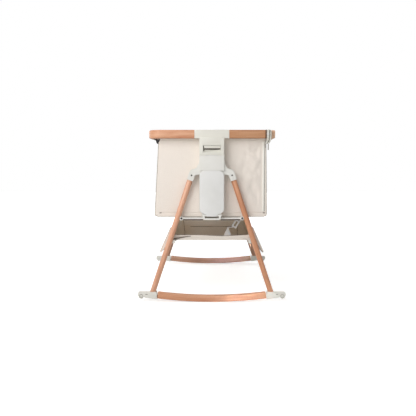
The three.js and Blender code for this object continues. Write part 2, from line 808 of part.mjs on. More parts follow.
// Edges of the body's end outline at a height
function leftEdge(z) {
  return bodyTopLeft + (bodyBottomLeft - bodyTopLeft) * (panelTop - z) / (panelTop - panelBottom);
}

function rightEdge(z) {
  return bodyTopRight + (bodyBottomRight - bodyTopRight) * (panelTop - z) / (panelTop - panelBottom);
}

function endPanel(side) {
  const outline = new THREE.Shape();
  outline.moveTo(leftEdge(panelBottom) + panelCornerRadius, panelBottom);
  outline.lineTo(rightEdge(panelBottom) - panelCornerRadius, panelBottom);
  outline.quadraticCurveTo(rightEdge(panelBottom), panelBottom,
    rightEdge(panelBottom + panelCornerRadius), panelBottom + panelCornerRadius);
  outline.lineTo(rightEdge(flangeTop), flangeTop);
  outline.lineTo(leftEdge(flangeTop), flangeTop);
  outline.lineTo(leftEdge(panelBottom + panelCornerRadius), panelBottom + panelCornerRadius);
  outline.quadraticCurveTo(leftEdge(panelBottom), panelBottom,
    leftEdge(panelBottom) + panelCornerRadius, panelBottom);
  const wall = plateXZ(outline, out(side, panelOut - panelThickness, panelOut), 4);
  const ends = [
    [leftEdge(flangeTop) + panelThickness, -columnHalf - panelThickness],
    [columnHalf + panelThickness, rightEdge(flangeTop) - panelThickness],
  ];
  const flanges = ends.map((x) => box(x, out(side, panelOut - panelThickness, railInner + flangeLap),
    [flangeBottom, flangeTop]));
  return joined([wall, ...flanges]);
}

const panelInnerY = standHalf + panelOut - panelThickness;
const panelHalf = panelInnerY - gap;

// A side wall between two edges' heights, with a flange folded out under the rail
function sidePanel(edge, inward, reach) {
  const inner = (z) => edge(z) + inward * panelThickness;
  const wall = polygon([
    { x: edge(panelBottom), z: panelBottom },
    { x: inner(panelBottom), z: panelBottom },
    { x: inner(flangeTop), z: flangeTop },
    { x: edge(flangeTop), z: flangeTop },
  ]);
  const root = edge(flangeTop) + inward * panelThickness / 2;
  const flange = box([Math.min(root, reach), Math.max(root, reach)], [-flangeHalf, flangeHalf],
    [flangeBottom, flangeTop]);
  return plateXZ(wall, [-panelHalf, panelHalf]).add(flange);
}

function leftPanel() {
  return sidePanel(leftEdge, 1, -railHalfWidth + railThickness - flangeLap);
}

function dropPanel() {
  return sidePanel(rightEdge, -1, flangeReach);
}

// Base: a welded frame, a board on it, and the mattress
const frameTop = frameBottom + frameHeight;
const frameLeft = leftEdge(frameTop) + panelThickness + gap;
const frameRight = rightEdge(frameTop) - panelThickness - gap;
const boardBottom = frameTop + gap;
const boardTop = boardBottom + boardThickness;
const mattressBottom = boardTop + gap;

function baseFrame() {
  const outer = box([frameLeft, frameRight], [-panelHalf, panelHalf], [frameBottom, frameTop]);
  const limits = [-panelHalf + frameBar, -crossBarY - frameBar / 2, -crossBarY + frameBar / 2,
    -frameBar / 2, frameBar / 2, crossBarY - frameBar / 2, crossBarY + frameBar / 2,
    panelHalf - frameBar];
  const rooms = [];
  for (let i = 0; i < limits.length; i += 2) {
    rooms.push(box([frameLeft + frameBar, frameRight - frameBar], [limits[i], limits[i + 1]],
      [frameBottom - overrun, frameTop + overrun]));
  }
  return cut(outer, rooms);
}

function baseBoard() {
  const half = panelHalf - boardInset;
  return box([frameLeft + boardInset, frameRight - boardInset], [-half, half], [boardBottom, boardTop]);
}

// A closed cushion: crowned top, sides drawn in between the edges
function mattress() {
  const columns = 12;
  const rows = 16;
  const halfWidth = (frameRight - frameLeft) / 2 - mattressSideRoom;
  const halfLength = panelHalf - mattressEndRoom;
  const centreX = (frameLeft + frameRight) / 2;
  const half = (mattressThickness - mattressCrown) / 2;
  const middle = mattressBottom + half;
  const edgeShares = [0, 0.35, 0.8, 1];
  const levels = [];
  for (let i = 0; i < edgeShares.length; i += 1) {
    levels.push({ z: -half * (1 - edgeShares[i]), inset: mattressDraw * Math.sqrt(1 - (1 - edgeShares[i]) ** 2) });
  }
  const wall = [...levels, ...levels.slice(0, -1).reverse().map((l) => ({ z: -l.z, inset: l.inset }))];
  const last = wall.length - 1;
  const ring = [];
  for (let i = 0; i < columns; i += 1) {
    ring.push([-1 + 2 * i / columns, -1]);
  }
  for (let j = 0; j < rows; j += 1) {
    ring.push([1, -1 + 2 * j / rows]);
  }
  for (let i = columns; i > 0; i -= 1) {
    ring.push([-1 + 2 * i / columns, 1]);
  }
  for (let j = rows; j > 0; j -= 1) {
    ring.push([-1, -1 + 2 * j / rows]);
  }
  const positions = [];
  const vertex = (u, v, z, inset) => {
    positions.push(centreX + u * (halfWidth - inset), v * (halfLength - inset), z);
    return positions.length / 3 - 1;
  };
  const index = [];
  const loops = wall.map(({ z, inset }) => ring.map(([u, v]) => vertex(u, v, middle + z, inset)));
  for (let level = 0; level < last; level += 1) {
    for (let i = 0; i < ring.length; i += 1) {
      const next = (i + 1) % ring.length;
      const [a, b] = [loops[level][i], loops[level][next]];
      const [c, d] = [loops[level + 1][i], loops[level + 1][next]];
      index.push(a, b, d, a, d, c);
    }
  }
  const cap = (loop, z, crown, flip) => {
    const at = [];
    for (let j = 0; j <= rows; j += 1) {
      at.push([]);
      for (let i = 0; i <= columns; i += 1) {
        const u = -1 + 2 * i / columns;
        const v = -1 + 2 * j / rows;
        const edge = ring.findIndex(([p, q]) => Math.hypot(p - u, q - v) < 1 / (rows * columns));
        const rise = crown * (1 - u ** 4) * (1 - v ** 4);
        at[j].push(edge >= 0 ? loop[edge] : vertex(u, v, z + rise, 0));
      }
    }
    for (let j = 0; j < rows; j += 1) {
      for (let i = 0; i < columns; i += 1) {
        const quad = [at[j][i], at[j][i + 1], at[j + 1][i + 1], at[j + 1][i]];
        const order = flip ? [0, 2, 1, 0, 3, 2] : [0, 1, 2, 0, 2, 3];
        index.push(...order.map((k) => quad[k]));
      }
    }
  };
  cap(loops[0], middle - half, 0, true);
  cap(loops[last], middle + half, mattressCrown, false);
  const geometry = new THREE.BufferGeometry();
  geometry.setAttribute('position', new THREE.Float32BufferAttribute(positions, 3));
  geometry.setIndex(index);
  geometry.computeVertexNormals();
  return geometry;
}

// Basket: a sling that sags between the end frames, its sides turned up
function basketRise(y) {
  return (Math.abs(y) / basketHalfLength) ** basketPower;
}

function basketFloorZ(x, y) {
  const centre = basketFloor + (basketHemBottom - basketFloor) * basketRise(y);
  const across = Math.max(0, (Math.abs(x) - basketHemHalf) / (basketCornerX - basketHemHalf));
  const blend = (1 + Math.cos(Math.PI * Math.min(1, across))) / 2;
  return basketCornerZ + (centre - basketCornerZ) * blend;
}

function basketSection(y) {
  const spread = 1 - (y / basketHalfLength) ** 2;
  const topZ = basketWallTopZ - basketWallSag * spread;
  const half = [];
  const floorShares = [0, 0.4, 0.63, 0.75, 0.87, 1];
  const wallShares = [0.5, 1];
  floorShares.forEach((share) => {
    const x = basketCornerX * share;
    half.push({ x, z: basketFloorZ(x, y) });
  });
  wallShares.forEach((share) => {
    half.push({
      x: basketCornerX + (basketWallTopX - basketCornerX) * share,
      z: basketCornerZ + (topZ - basketCornerZ) * share,
    });
  });
  const left = half.slice(1).reverse().map(({ x, z }) => ({ x: -x, z }));
  return [...left, ...half];
}

function offsetSection(points, distance) {
  return points.map((p, i) => {
    const a = points[Math.max(0, i - 1)];
    const b = points[Math.min(points.length - 1, i + 1)];
    const length = Math.hypot(b.x - a.x, b.z - a.z);
    return { x: p.x - distance * (b.z - a.z) / length, z: p.z + distance * (b.x - a.x) / length };
  });
}

// A sheet of one thickness lofted through sections along Y
function loft(sections) {
  const positions = [];
  const index = [];
  const count = sections[0].under.length;
  sections.forEach(({ y, under, over }) => {
    under.forEach((p) => positions.push(p.x, y, p.z));
    over.forEach((p) => positions.push(p.x, y, p.z));
  });
  const at = (row, layer, i) => (row * 2 + layer) * count + i;
  const quad = (a, b, c, d) => index.push(a, b, c, a, c, d);
  const last = sections.length - 1;
  for (let row = 0; row < last; row += 1) {
    for (let i = 0; i < count - 1; i += 1) {
      quad(at(row, 0, i), at(row + 1, 0, i), at(row + 1, 0, i + 1), at(row, 0, i + 1));
      quad(at(row, 1, i), at(row, 1, i + 1), at(row + 1, 1, i + 1), at(row + 1, 1, i));
    }
    quad(at(row, 0, 0), at(row, 1, 0), at(row + 1, 1, 0), at(row + 1, 0, 0));
    quad(at(row, 0, count - 1), at(row + 1, 0, count - 1), at(row + 1, 1, count - 1),
      at(row, 1, count - 1));
  }
  for (let i = 0; i < count - 1; i += 1) {
    quad(at(0, 0, i), at(0, 0, i + 1), at(0, 1, i + 1), at(0, 1, i));
    quad(at(last, 0, i), at(last, 1, i), at(last, 1, i + 1), at(last, 0, i + 1));
  }
  const geometry = new THREE.BufferGeometry();
  geometry.setAttribute('position', new THREE.Float32BufferAttribute(positions, 3));
  geometry.setIndex(index);
  return solid(geometry);
}

function storageBasket() {
  const sections = [];
  for (let row = 0; row <= basketRows; row += 1) {
    const y = -basketHalfLength + 2 * basketHalfLength * row / basketRows;
    const under = basketSection(y);
    sections.push({ y, under, over: offsetSection(under, basketWall) });
  }
  const sling = loft(sections);
  const floorLine = offsetSection(basketSection(basketHalfLength), basketWall / 2);
  const outline = polygon([
    ...floorLine,
    { x: basketHemEnd, z: basketHemTop },
    { x: -basketHemEnd, z: basketHemTop },
  ]);
  const walls = [-1, 1].map((side) => plateXZ(outline,
    out(side, basketHalfLength - basketWall, basketHalfLength)));
  return joined([sling, ...walls]);
}

function basketClip(side, hand) {
  const x = hand * clipX;
  const depth = standHalf - basketHalfLength - gap;
  const body = box([x - clipHalf, x + clipHalf], out(side, -depth, 0),
    [clipZ - clipHeight / 2, clipZ + clipHeight / 2]);
  const top = legPoint(hand, legRunAt(clipZ + 2 * clipHeight));
  const low = legPoint(hand, legRunAt(clipZ - 2 * clipHeight));
  return body.subtract(rod([top.x, 0, top.z], [low.x, 0, low.z], legRadius + gap, 28));
}

// A strip under the left rail, with tabs that hold the side's fabric
function hookStrip() {
  const inner = -railHalfWidth + railThickness;
  const top = flangeBottom - gap;
  const tabOuter = leftEdge(top - hookDrop) - hookTab - gap;
  const ends = [hookPlaces[0] - hookHalf, hookPlaces[hookPlaces.length - 1] + hookHalf];
  const plate = box([inner - hookPlate, tabOuter + hookTab], ends, [top - hookPlate, top]);
  const tabs = hookPlaces.map((y) => box([tabOuter, tabOuter + hookTab],
    [y - hookHalf, y + hookHalf], [top - hookDrop, top]));
  return joined([plate, ...tabs]);
}

function zipSlider(side) {
  const back = panelOut + gap;
  const body = box([zipX - zipHalf, zipX + zipHalf], out(side, back, back + zipThickness),
    [zipZ - zipHeight / 2, zipZ + zipHeight / 2]);
  const pull = box([zipX - zipPullHalf, zipX + zipPullHalf],
    out(side, back + zipThickness - zipPullThickness / 4, back + zipThickness + zipPullThickness),
    [zipZ - zipPullLength, zipZ]);
  return body.add(pull);
}

// Webbing strap as a band of one width along a path in X and Z
function band(path, half, y) {
  const left = offsetSection(path, half);
  const right = offsetSection(path, -half);
  return plateXZ(polygon([...left, ...right.reverse()]), y);
}

function bedStrap() {
  const y = [-strapY - strapThickness / 2, -strapY + strapThickness / 2];
  const webbing = band([strapTop, strapBend, buckleTop, buckleEnd, strapDrop, strapTail], strapHalf, y);
  const half = buckleThickness / 2;
  return webbing.add(band([buckleTop, buckleEnd], buckleHalf, [-strapY - half, -strapY + half]));
}

// Assembly
const crib = new THREE.Group();
const stand = new THREE.Group();
const bassinet = new THREE.Group();
crib.add(stand, bassinet);

const ends = [{ label: 'near', side: -1 }, { label: 'far', side: 1 }];
const hands = [{ label: 'left', hand: -1 }, { label: 'right', hand: 1 }];

ends.forEach(({ label, side }) => {
  const frame = new THREE.Group();
  frame.position.y = side * standHalf;
  stand.add(frame);
  frame.add(
    node(`${label}_rocker`, wood, rocker()),
    node(`${label}_leg_hub`, plastic, legHub(side)),
    node(`${label}_column_sleeve`, aluminium, sleeve(side)),
    node(`${label}_column_cover`, coverPlastic, columnCover(side)),
    node(`${label}_crossbar`, paintedSteel, crossbar(side)),
  );
  hands.forEach(({ label: handLabel, hand }) => {
    const footMesh = node(`${label}_${handLabel}_foot`, plastic, foot());
    footMesh.position.set(hand * footPivotX, 0, footPivotZ);
    footMesh.rotation.z = hand > 0 ? 0 : Math.PI;
    frame.add(
      node(`${label}_${handLabel}_leg`, wood, leg(hand)),
      node(`${label}_${handLabel}_rocker_socket`, plastic, rockerSocket(hand)),
      node(`${label}_${handLabel}_leg_screw`, steel, hubScrewSolid(side, hand)),
      node(`${label}_${handLabel}_basket_clip`, plastic, basketClip(side, hand)),
      footMesh,
    );
  });

  const upper = new THREE.Group();
  upper.position.y = side * standHalf;
  bassinet.add(upper);
  upper.add(
    node(`${label}_inner_column`, aluminium, innerColumn(side)),
    node(`${label}_housing`, plastic, housing(side)),
    node(`${label}_release_handle`, plastic, releaseHandle(side)),
    node(`${label}_latch_bolt`, steel, latchBolt(side)),
    node(`${label}_right_rail`, wood, rightRail(side)),
    node(`${label}_end_panel`, cloth, endPanel(side)),
    node(`${label}_zip_slider`, steel, zipSlider(side)),
    node(`${label}_catch_button`, plastic, catchButton(side)),
  );
  bassinet.add(
    node(`${label}_corner_bracket`, plastic, cornerBracket(side)),
    node(`${label}_rail_catch`, plastic, railCatch(side)),
  );
});

stand.add(node('storage_basket', taupe, storageBasket()));

bassinet.add(
  node('left_rail', wood, leftRail()),
  node('drop_rail', wood, dropRail()),
  node('left_side_panel', cloth, leftPanel()),
  node('drop_side_panel', cloth, dropPanel()),
  node('base_frame', paintedSteel, baseFrame()),
  node('base_board', board, baseBoard()),
  node('mattress', cloth, mattress()),
  node('fabric_hook_strip', darkPlastic, hookStrip()),
  node('bed_strap', cloth, bedStrap()),
);

export default crib;
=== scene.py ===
import math

import bmesh
import bpy
import numpy as np
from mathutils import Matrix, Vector, noise


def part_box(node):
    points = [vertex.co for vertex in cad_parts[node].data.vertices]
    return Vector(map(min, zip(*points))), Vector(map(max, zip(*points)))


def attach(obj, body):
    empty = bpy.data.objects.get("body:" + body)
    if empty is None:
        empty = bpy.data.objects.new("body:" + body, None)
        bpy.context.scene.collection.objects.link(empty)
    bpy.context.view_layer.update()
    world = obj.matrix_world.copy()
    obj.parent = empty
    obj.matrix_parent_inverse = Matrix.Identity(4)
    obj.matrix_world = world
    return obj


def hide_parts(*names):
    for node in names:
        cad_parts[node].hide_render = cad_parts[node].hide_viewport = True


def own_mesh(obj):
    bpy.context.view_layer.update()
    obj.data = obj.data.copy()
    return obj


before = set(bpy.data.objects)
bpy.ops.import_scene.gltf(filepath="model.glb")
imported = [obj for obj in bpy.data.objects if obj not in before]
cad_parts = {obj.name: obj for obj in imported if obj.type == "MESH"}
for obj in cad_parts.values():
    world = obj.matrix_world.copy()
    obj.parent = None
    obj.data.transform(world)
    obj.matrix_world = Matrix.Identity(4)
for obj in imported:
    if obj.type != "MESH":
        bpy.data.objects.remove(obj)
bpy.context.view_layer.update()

# The camera stands 2.43 m before the near end frame, at the height of the cover's top
camera_data = bpy.data.cameras.new("camera")
camera_data.sensor_width = 36.0
camera_data.lens = 47.4
camera = bpy.data.objects.new("camera", camera_data)
bpy.context.scene.collection.objects.link(camera)
camera.location = (-0.017, -2.881, 0.656)
camera.rotation_euler = (math.radians(90 - 5.417), 0, 0)
bpy.context.scene.camera = camera

# Sizes shared by several pieces
STAND = 0.448                         # the middle of each end frame
RAIL_INNER, RAIL_OUTER = 0.441, 0.465
RAIL_LOW, RAIL_TOP = 0.7335, 0.7705
RAIL_SIDE = 0.281
RAIL_START = 0.0769                   # where the rails meet the housing
RAIL_TURN = 0.062                     # the bent rail's outer radius
WALL_LOW, WALL_TOP = 0.385, 0.7332
WALL_FACE = 0.428
WALL_TURN = 0.016                     # the radius of an end wall's lower corners
WALL_CORNER = 0.731                   # the height of an end wall's upper corners
HEM_LOW, HEM_TOP = 0.7304, 0.7331     # the hems folded out under the rails
SEAM = 0.4015                         # the height of the walls' bottom seam
STITCH = 0.0004                       # half the thickness of a lock stitch
SIDE_HALF = 0.4217
BASKET_HALF = 0.430
BASKET_FLOOR = 0.238                  # half the width of the basket's floor, with its turned-up edges
ENDS = (("near", -1), ("far", 1))
HANDS = (("left", -1), ("right", 1))

# The body and the slot of the two kinds of sewn trim
ON_WALL = ("bassinet", "oat_fabric")
ON_BASKET = ("stand", "taupe_fabric")


# Materials

def linear(hex_code):
    """An sRGB hex colour as linear RGBA."""
    shares = [int(hex_code[i:i + 2], 16) / 255 for i in (1, 3, 5)]
    return tuple(s / 12.92 if s <= 0.04045 else ((s + 0.055) / 1.055) ** 2.4 for s in shares) + (1.0,)


def feed(tree, made, links):
    """Links outputs into a node's sockets. A node given for an output stands for its first one."""
    for key, source in links.items():
        output = source.outputs[0] if isinstance(source, bpy.types.Node) else source
        tree.links.new(output, made.inputs[key])


def add_node(tree, kind, settings=None, sockets=None, links=None):
    """A node with its settings, its sockets' own values, and the outputs linked into it."""
    made = tree.nodes.new("ShaderNode" + kind)
    for key, value in (settings or {}).items():
        setattr(made, key, value)
    for key, value in (sockets or {}).items():
        made.inputs[key].default_value = value
    feed(tree, made, links or {})
    return made


def start_material(name, **sockets):
    """A new material with a Principled shader whose sockets are set by name."""
    made = bpy.data.materials.new(name)
    made.use_nodes = True
    shader = made.node_tree.nodes["Principled BSDF"]
    for key, value in sockets.items():
        shader.inputs[key.replace("_", " ")].default_value = value
    return made, made.node_tree, shader


def colour_stops(ramp, stops):
    """Sets a colour ramp's stops from places and hex colours."""
    elements = ramp.color_ramp.elements
    while len(elements) < len(stops):
        elements.new(0.5)
    for element, (place, hex_code) in zip(elements, stops):
        element.position = place
        element.color = linear(hex_code)


def beech(name, pale, middle, deep, pore):
    """Steamed beech under satin varnish: straight grain, short dark ray flecks, a soft sheen."""
    made, tree, shader = start_material(name, Roughness=0.46, IOR=1.5, Coat_Weight=0.12, Coat_Roughness=0.3)
    run = add_node(tree, "Attribute", {"attribute_name": "grain"}).outputs["Vector"]
    # Growth bands about 9 mm wide that run 250 mm along the board
    banding = add_node(tree, "VectorMath", {"operation": "MULTIPLY"}, {1: (4.0, 110.0, 70.0)}, {0: run})
    bands = add_node(tree, "TexNoise", {}, {"Scale": 1.0, "Detail": 4.0, "Roughness": 0.55, "Distortion": 0.35},
                     {"Vector": banding})
    tone = add_node(tree, "ValToRGB", links={"Fac": bands})
    colour_stops(tone, ((0.32, deep), (0.5, middle), (0.68, pale)))
    # Ray flecks 5 mm long and 0.7 mm wide
    flecking = add_node(tree, "VectorMath", {"operation": "MULTIPLY"}, {1: (200.0, 1400.0, 1400.0)}, {0: run})
    flecks = add_node(tree, "TexNoise", {}, {"Scale": 1.0, "Detail": 1.0}, {"Vector": flecking})
    mask = add_node(tree, "MapRange", {}, {"From Min": 0.6, "From Max": 0.72, "To Min": 0.0, "To Max": 0.55},
                    {"Value": flecks})
    coloured = add_node(tree, "Mix", {"data_type": "RGBA"}, {7: linear(pore)}, {0: mask, 6: tone})
    sheen = add_node(tree, "MapRange", {}, {"To Min": 0.38, "To Max": 0.54}, {"Value": bands})
    grooves = add_node(tree, "Bump", {}, {"Strength": 0.12, "Distance": 0.0004}, {"Height": flecks})
    feed(tree, shader, {"Base Color": coloured.outputs[2], "Roughness": sheen, "Normal": grooves})
    return made


def moulded_plastic(name, hex_code, shade, roughness, grit):
    """Injection-moulded plastic: a satin spark-eroded grit, given in millimetres, and faint flow marks."""
    made, tree, shader = start_material(name, IOR=1.49)
    place = add_node(tree, "TexCoord").outputs["Object"]
    flow = add_node(tree, "TexNoise", {}, {"Scale": 9.0, "Detail": 3.0}, {"Vector": place})
    tone = add_node(tree, "ValToRGB", links={"Fac": flow})
    colour_stops(tone, ((0.35, shade), (0.6, hex_code)))
    texture = add_node(tree, "TexNoise", {}, {"Scale": 1000.0 / grit, "Detail": 2.0}, {"Vector": place})
    gloss = add_node(tree, "MapRange", {}, {"To Min": roughness - 0.06, "To Max": roughness + 0.06},
                     {"Value": texture})
    grain = add_node(tree, "Bump", {}, {"Strength": 0.10, "Distance": 0.0002}, {"Height": texture})
    feed(tree, shader, {"Base Color": tone, "Roughness": gloss, "Normal": grain})
    return made


def woven_cloth(name, warp, weft, gap, thread, slub=0.5, glow=0.0):
    """Plain-woven polyester with a linen look: matt, with slubs; glow is how much light comes through."""
    made, tree, shader = start_material(name, Roughness=0.9, IOR=1.45, Sheen_Weight=0.25, Sheen_Roughness=0.6,
                                        Subsurface_Weight=glow, Subsurface_Radius=(1.0, 0.92, 0.85),
                                        Subsurface_Scale=0.010)
    place = add_node(tree, "UVMap", {"uv_map": "weave"})
    # The real threads are 0.5 mm apart; they are drawn wider, as the camera can't show them
    waves = {"Scale": 0.314 / (thread / 1000), "Distortion": 1.2, "Detail": 1.0, "Detail Scale": 0.4}
    across, along = [add_node(tree, "TexWave", {"bands_direction": direction}, waves, {"Vector": place})
                     for direction in "XY"]
    height = add_node(tree, "Math", {"operation": "MULTIPLY"},
                      links={0: across.outputs["Fac"], 1: along.outputs["Fac"]})
    threads = add_node(tree, "ValToRGB", links={"Fac": height})
    colour_stops(threads, ((0.0, gap), (0.3, weft), (0.75, warp)))
    # Slubs: threads that run thick for 20 to 60 mm, across and along
    slubs = []
    for scales in ((28.0, 420.0, 1.0), (420.0, 28.0, 1.0)):
        run = add_node(tree, "VectorMath", {"operation": "MULTIPLY"}, {1: scales}, {0: place})
        slubs.append(add_node(tree, "TexNoise", {}, {"Scale": 1.0, "Detail": 2.0}, {"Vector": run}))
    both = add_node(tree, "Math", {"operation": "ADD"}, links={0: slubs[0], 1: slubs[1]})
    melange = add_node(tree, "MapRange", {},
                       {"From Min": 0.75, "From Max": 1.25, "To Min": 0.0, "To Max": slub}, {"Value": both})
    coloured = add_node(tree, "Mix", {"data_type": "RGBA"}, {7: linear(gap)}, {0: melange, 6: threads})
    relief = add_node(tree, "Bump", {}, {"Strength": 0.22, "Distance": 0.0004}, {"Height": height})
    feed(tree, shader, {"Base Color": coloured.outputs[2], "Normal": relief})
    return made


def sheet_metal(name, hex_code, shade, metallic, roughness, grain):
    """Metal with a drawn or coated surface: long faint lines or orange peel, by the grain's three scales."""
    made, tree, shader = start_material(name, Metallic=metallic)
    place = add_node(tree, "TexCoord").outputs["Object"]
    drawn = add_node(tree, "VectorMath", {"operation": "MULTIPLY"}, {1: grain}, {0: place})
    lines = add_node(tree, "TexNoise", {}, {"Scale": 1.0, "Detail": 3.0}, {"Vector": drawn})
    tone = add_node(tree, "ValToRGB", links={"Fac": lines})
    colour_stops(tone, ((0.3, shade), (0.65, hex_code)))
    gloss = add_node(tree, "MapRange", {}, {"To Min": roughness - 0.08, "To Max": roughness + 0.08},
                     {"Value": lines})
    peel = add_node(tree, "Bump", {}, {"Strength": 0.08, "Distance": 0.0002}, {"Height": lines})
    feed(tree, shader, {"Base Color": tone, "Roughness": gloss, "Normal": peel})
    return made


# Beech: each material's tone, from its palest band to its pores; the darker and paler copies below are painted
# shade and painted light
rail_beech = beech("steamed_beech_satin_varnish", "#DFAC8A", "#D39975", "#C58562", "#A36B4C")
# A darker copy for the right-hand rails: painted shade, as the light falls from the left
right_rail_painted_shade_beech = beech("steamed_beech_painted_shade_right", "#CC9A74", "#BE875F", "#AA724D", "#8C583A")
leg_beech = beech("turned_beech_satin_varnish", "#EBBC9E", "#E0AA8B", "#D19676", "#B47D5F")
# A darker copy for the right-hand legs: painted shade
right_leg_painted_shade_beech = beech("turned_beech_painted_shade_right", "#DCA37F", "#CD8F6A", "#B97955", "#9C6342")
# A paler copy for the drop rail: painted light on a rail that sits in the corner cap's shade
drop_rail_painted_light_beech = beech("steamed_beech_painted_light", "#F6D2B4", "#EEC4A2", "#DFAE8B", "#C0906D")
# Darker copies for the far legs and the far rocker: painted shade under the bassinet
far_leg_painted_shade_beech = beech("turned_beech_painted_shade_far", "#BD937A", "#AE836A", "#9A7058", "#7C5742")
far_rocker_painted_shade_beech = beech("bent_beech_painted_shade_far", "#CC9F84", "#BC8F76", "#A87A60", "#8A6048")
# Moulded parts: colour, its shade in the flow marks, roughness, and the grit in millimetres
housing_plastic = moulded_plastic("moulded_abs_warm_white", "#E3E0D6", "#DDDACF", 0.46, 0.9)
hub_plastic = moulded_plastic("moulded_nylon_white_hub", "#E5E3DD", "#DFDDD5", 0.44, 0.9)
cover_plastic = moulded_plastic("moulded_abs_cool_white", "#E4E3E0", "#DEDDD9", 0.42, 0.9)
socket_plastic = moulded_plastic("moulded_nylon_pale_grey", "#E6E4DC", "#DEDBD2", 0.5, 1.2)
black_plastic = moulded_plastic("moulded_nylon_black", "#332D2C", "#272322", 0.55, 0.8)
# Dark grey plastic that stands for painted shade in grooves, rings and slots
rib_shade = moulded_plastic("moulded_grey_painted_shade", "#9C988E", "#8E8A80", 0.6, 1.0)
# Brown strip that stands for painted shade in the gap at a rail's end
rail_end_shade_plastic = moulded_plastic("moulded_brown_painted_shade", "#7A5B45", "#6A4D3A", 0.7, 1.0)
# Dark strip that stands for painted shade under the crossbars
crossbar_shade_plastic = moulded_plastic("extruded_brown_painted_shade", "#5A4A42", "#4C3E37", 0.7, 1.0)
# Grey strip that stands for painted shade in the release handle's recess
recess_shade_plastic = moulded_plastic("moulded_grey_painted_recess_shade", "#7A766C", "#6E6A61", 0.7, 1.0)
fibre_board = moulded_plastic("pressed_hardboard", "#B28C63", "#A07B55", 0.75, 1.6)
# Cloth: warp, weft and the gap between, the drawn thread in millimetres, slubs and glow
wall_cloth = woven_cloth("woven_polyester_oat", "#FAF3EA", "#F4ECE2", "#E6DBD0", 1.6, 0.35)
hem_cloth = woven_cloth("woven_binding_cream", "#F1E9DF", "#E9E0D5", "#DBD1C5", 1.1, 0.3)
lining_cloth = woven_cloth("woven_polyester_sand", "#F3E9DD", "#EADFD1", "#D8CBBB", 1.6, 0.5, 1.0)
# Pale grey piping, darker than the wall: partly its own colour, partly painted shade along the edges
pale_grey_edge_shade_cloth = woven_cloth("woven_pale_grey_painted_edge_shade", "#DFDAD1", "#D4CEC4", "#BEB7AC", 1.1, 0.3)
# Grey: the zip tape, partly its own colour and partly painted shade, and a basket binding darkened as painted
# shade
grey_tape_and_shade_cloth = woven_cloth("woven_grey_tape_and_painted_shade", "#A9A49C", "#9C978F", "#868178", 1.1, 0.3)
# Lighter cream: the zip flap, partly its own colour and partly a painted highlight, and a basket binding
# lightened as painted light
cream_tape_and_highlight_cloth = woven_cloth("woven_cream_tape_painted_highlight", "#FFFDF6", "#FBF8F0", "#EFEBE0", 1.1, 0.2)
# Taupe: the bar tacks' thread, and painted shade along the basket's seams, behind its hem and at its corner
taupe_thread_and_shade_cloth = woven_cloth("woven_taupe_thread_and_painted_shade", "#8D7E71", "#817266", "#6D6156", 1.1, 0.4)
ticking = woven_cloth("woven_cotton_ticking", "#F3F0EA", "#ECE8E0", "#DDD8CE", 1.4, 0.3)
strap_webbing = woven_cloth("woven_webbing_cream", "#FFFDF8", "#FBF6EE", "#EFE7DB", 1.8, 0.15, 0.9)
# Metals: colour, its shade, metallic, roughness, and the scales of the lines in its surface
white_metal = sheet_metal("powder_coated_steel_white", "#E9E7E1", "#E2E0D9", 0.0, 0.45, (260, 260, 260))
column_metal = sheet_metal("anodised_aluminium_drawn", "#C9CACB", "#B9BBBD", 1.0, 0.36, (900, 900, 6))
bolt_metal = sheet_metal("zinc_plated_steel", "#B4B2AC", "#9D9B96", 1.0, 0.34, (700, 12, 700))
screw_metal = sheet_metal("black_oxide_steel", "#4A4543", "#35312F", 0.8, 0.42, (500, 500, 500))
zip_metal = sheet_metal("enamelled_zip_grey", "#B5B0A9", "#A39E97", 0.3, 0.38, (400, 400, 400))


# Modelling tools

def take(piece):
    """Selects one piece alone, in object mode."""
    if bpy.context.object and bpy.context.object.mode != "OBJECT":
        bpy.ops.object.mode_set(mode="OBJECT")
    bpy.ops.object.select_all(action="DESELECT")
    if piece:
        piece.select_set(True)
        bpy.context.view_layer.objects.active = piece


def open_mesh(piece, mode="FACE"):
    """Edit mode with everything selected."""
    take(piece)
    bpy.ops.object.mode_set(mode="EDIT")
    bpy.ops.mesh.select_mode(type=mode)
    bpy.ops.mesh.select_all(action="SELECT")


def close_mesh(piece):
    """Back to object mode, with the piece's place in its mesh."""
    bpy.ops.object.mode_set(mode="OBJECT")
    bpy.ops.object.transform_apply(location=True, rotation=True, scale=True)


def close_solid(piece):
    """Joins an extruded shape's doubled points, turns its faces outwards and closes the mesh."""
    bpy.ops.mesh.select_all(action="SELECT")
    bpy.ops.mesh.remove_doubles(threshold=1e-6)
    bpy.ops.mesh.normals_make_consistent(inside=False)
    close_mesh(piece)


def pick_faces(piece, test):
    """In edit mode, selects the faces whose centre and normal pass the test."""
    bpy.ops.mesh.select_all(action="DESELECT")
    mesh = bmesh.from_edit_mesh(piece.data)
    for face in mesh.faces:
        face.select = bool(test(face.calc_center_median(), face.normal))
    bmesh.update_edit_mesh(piece.data)


def modify(piece, kind, **settings):
    """Adds a modifier and applies it."""
    take(piece)
    made = piece.modifiers.new(kind.lower(), kind)
    for key, value in settings.items():
        setattr(made, key, value)
    bpy.ops.object.modifier_apply(modifier=made.name)


def smooth(piece, degrees=35):
    """Shades a piece smooth except across edges sharper than the angle."""
    take(piece)
    bpy.ops.object.shade_smooth_by_angle(angle=math.radians(degrees))


def named(name, scale=(1, 1, 1)):
    """The primitive just added, named and scaled, with its place in its mesh."""
    piece = bpy.context.object
    piece.name = name
    piece.scale = scale
    bpy.ops.object.transform_apply(location=True, rotation=True, scale=True)
    return piece


def block(name, low, high):
    """A cube primitive between two corners."""
    take(None)
    bpy.ops.mesh.primitive_cube_add(size=1, location=[(a + b) / 2 for a, b in zip(low, high)])
    return named(name, [abs(b - a) for a, b in zip(low, high)])


def eased_block(name, low, high, width, segments=2):
    """A block with all its edges rounded."""
    piece = block(name, low, high)
    round_edges(piece, width, segments)
    smooth(piece)
    return piece


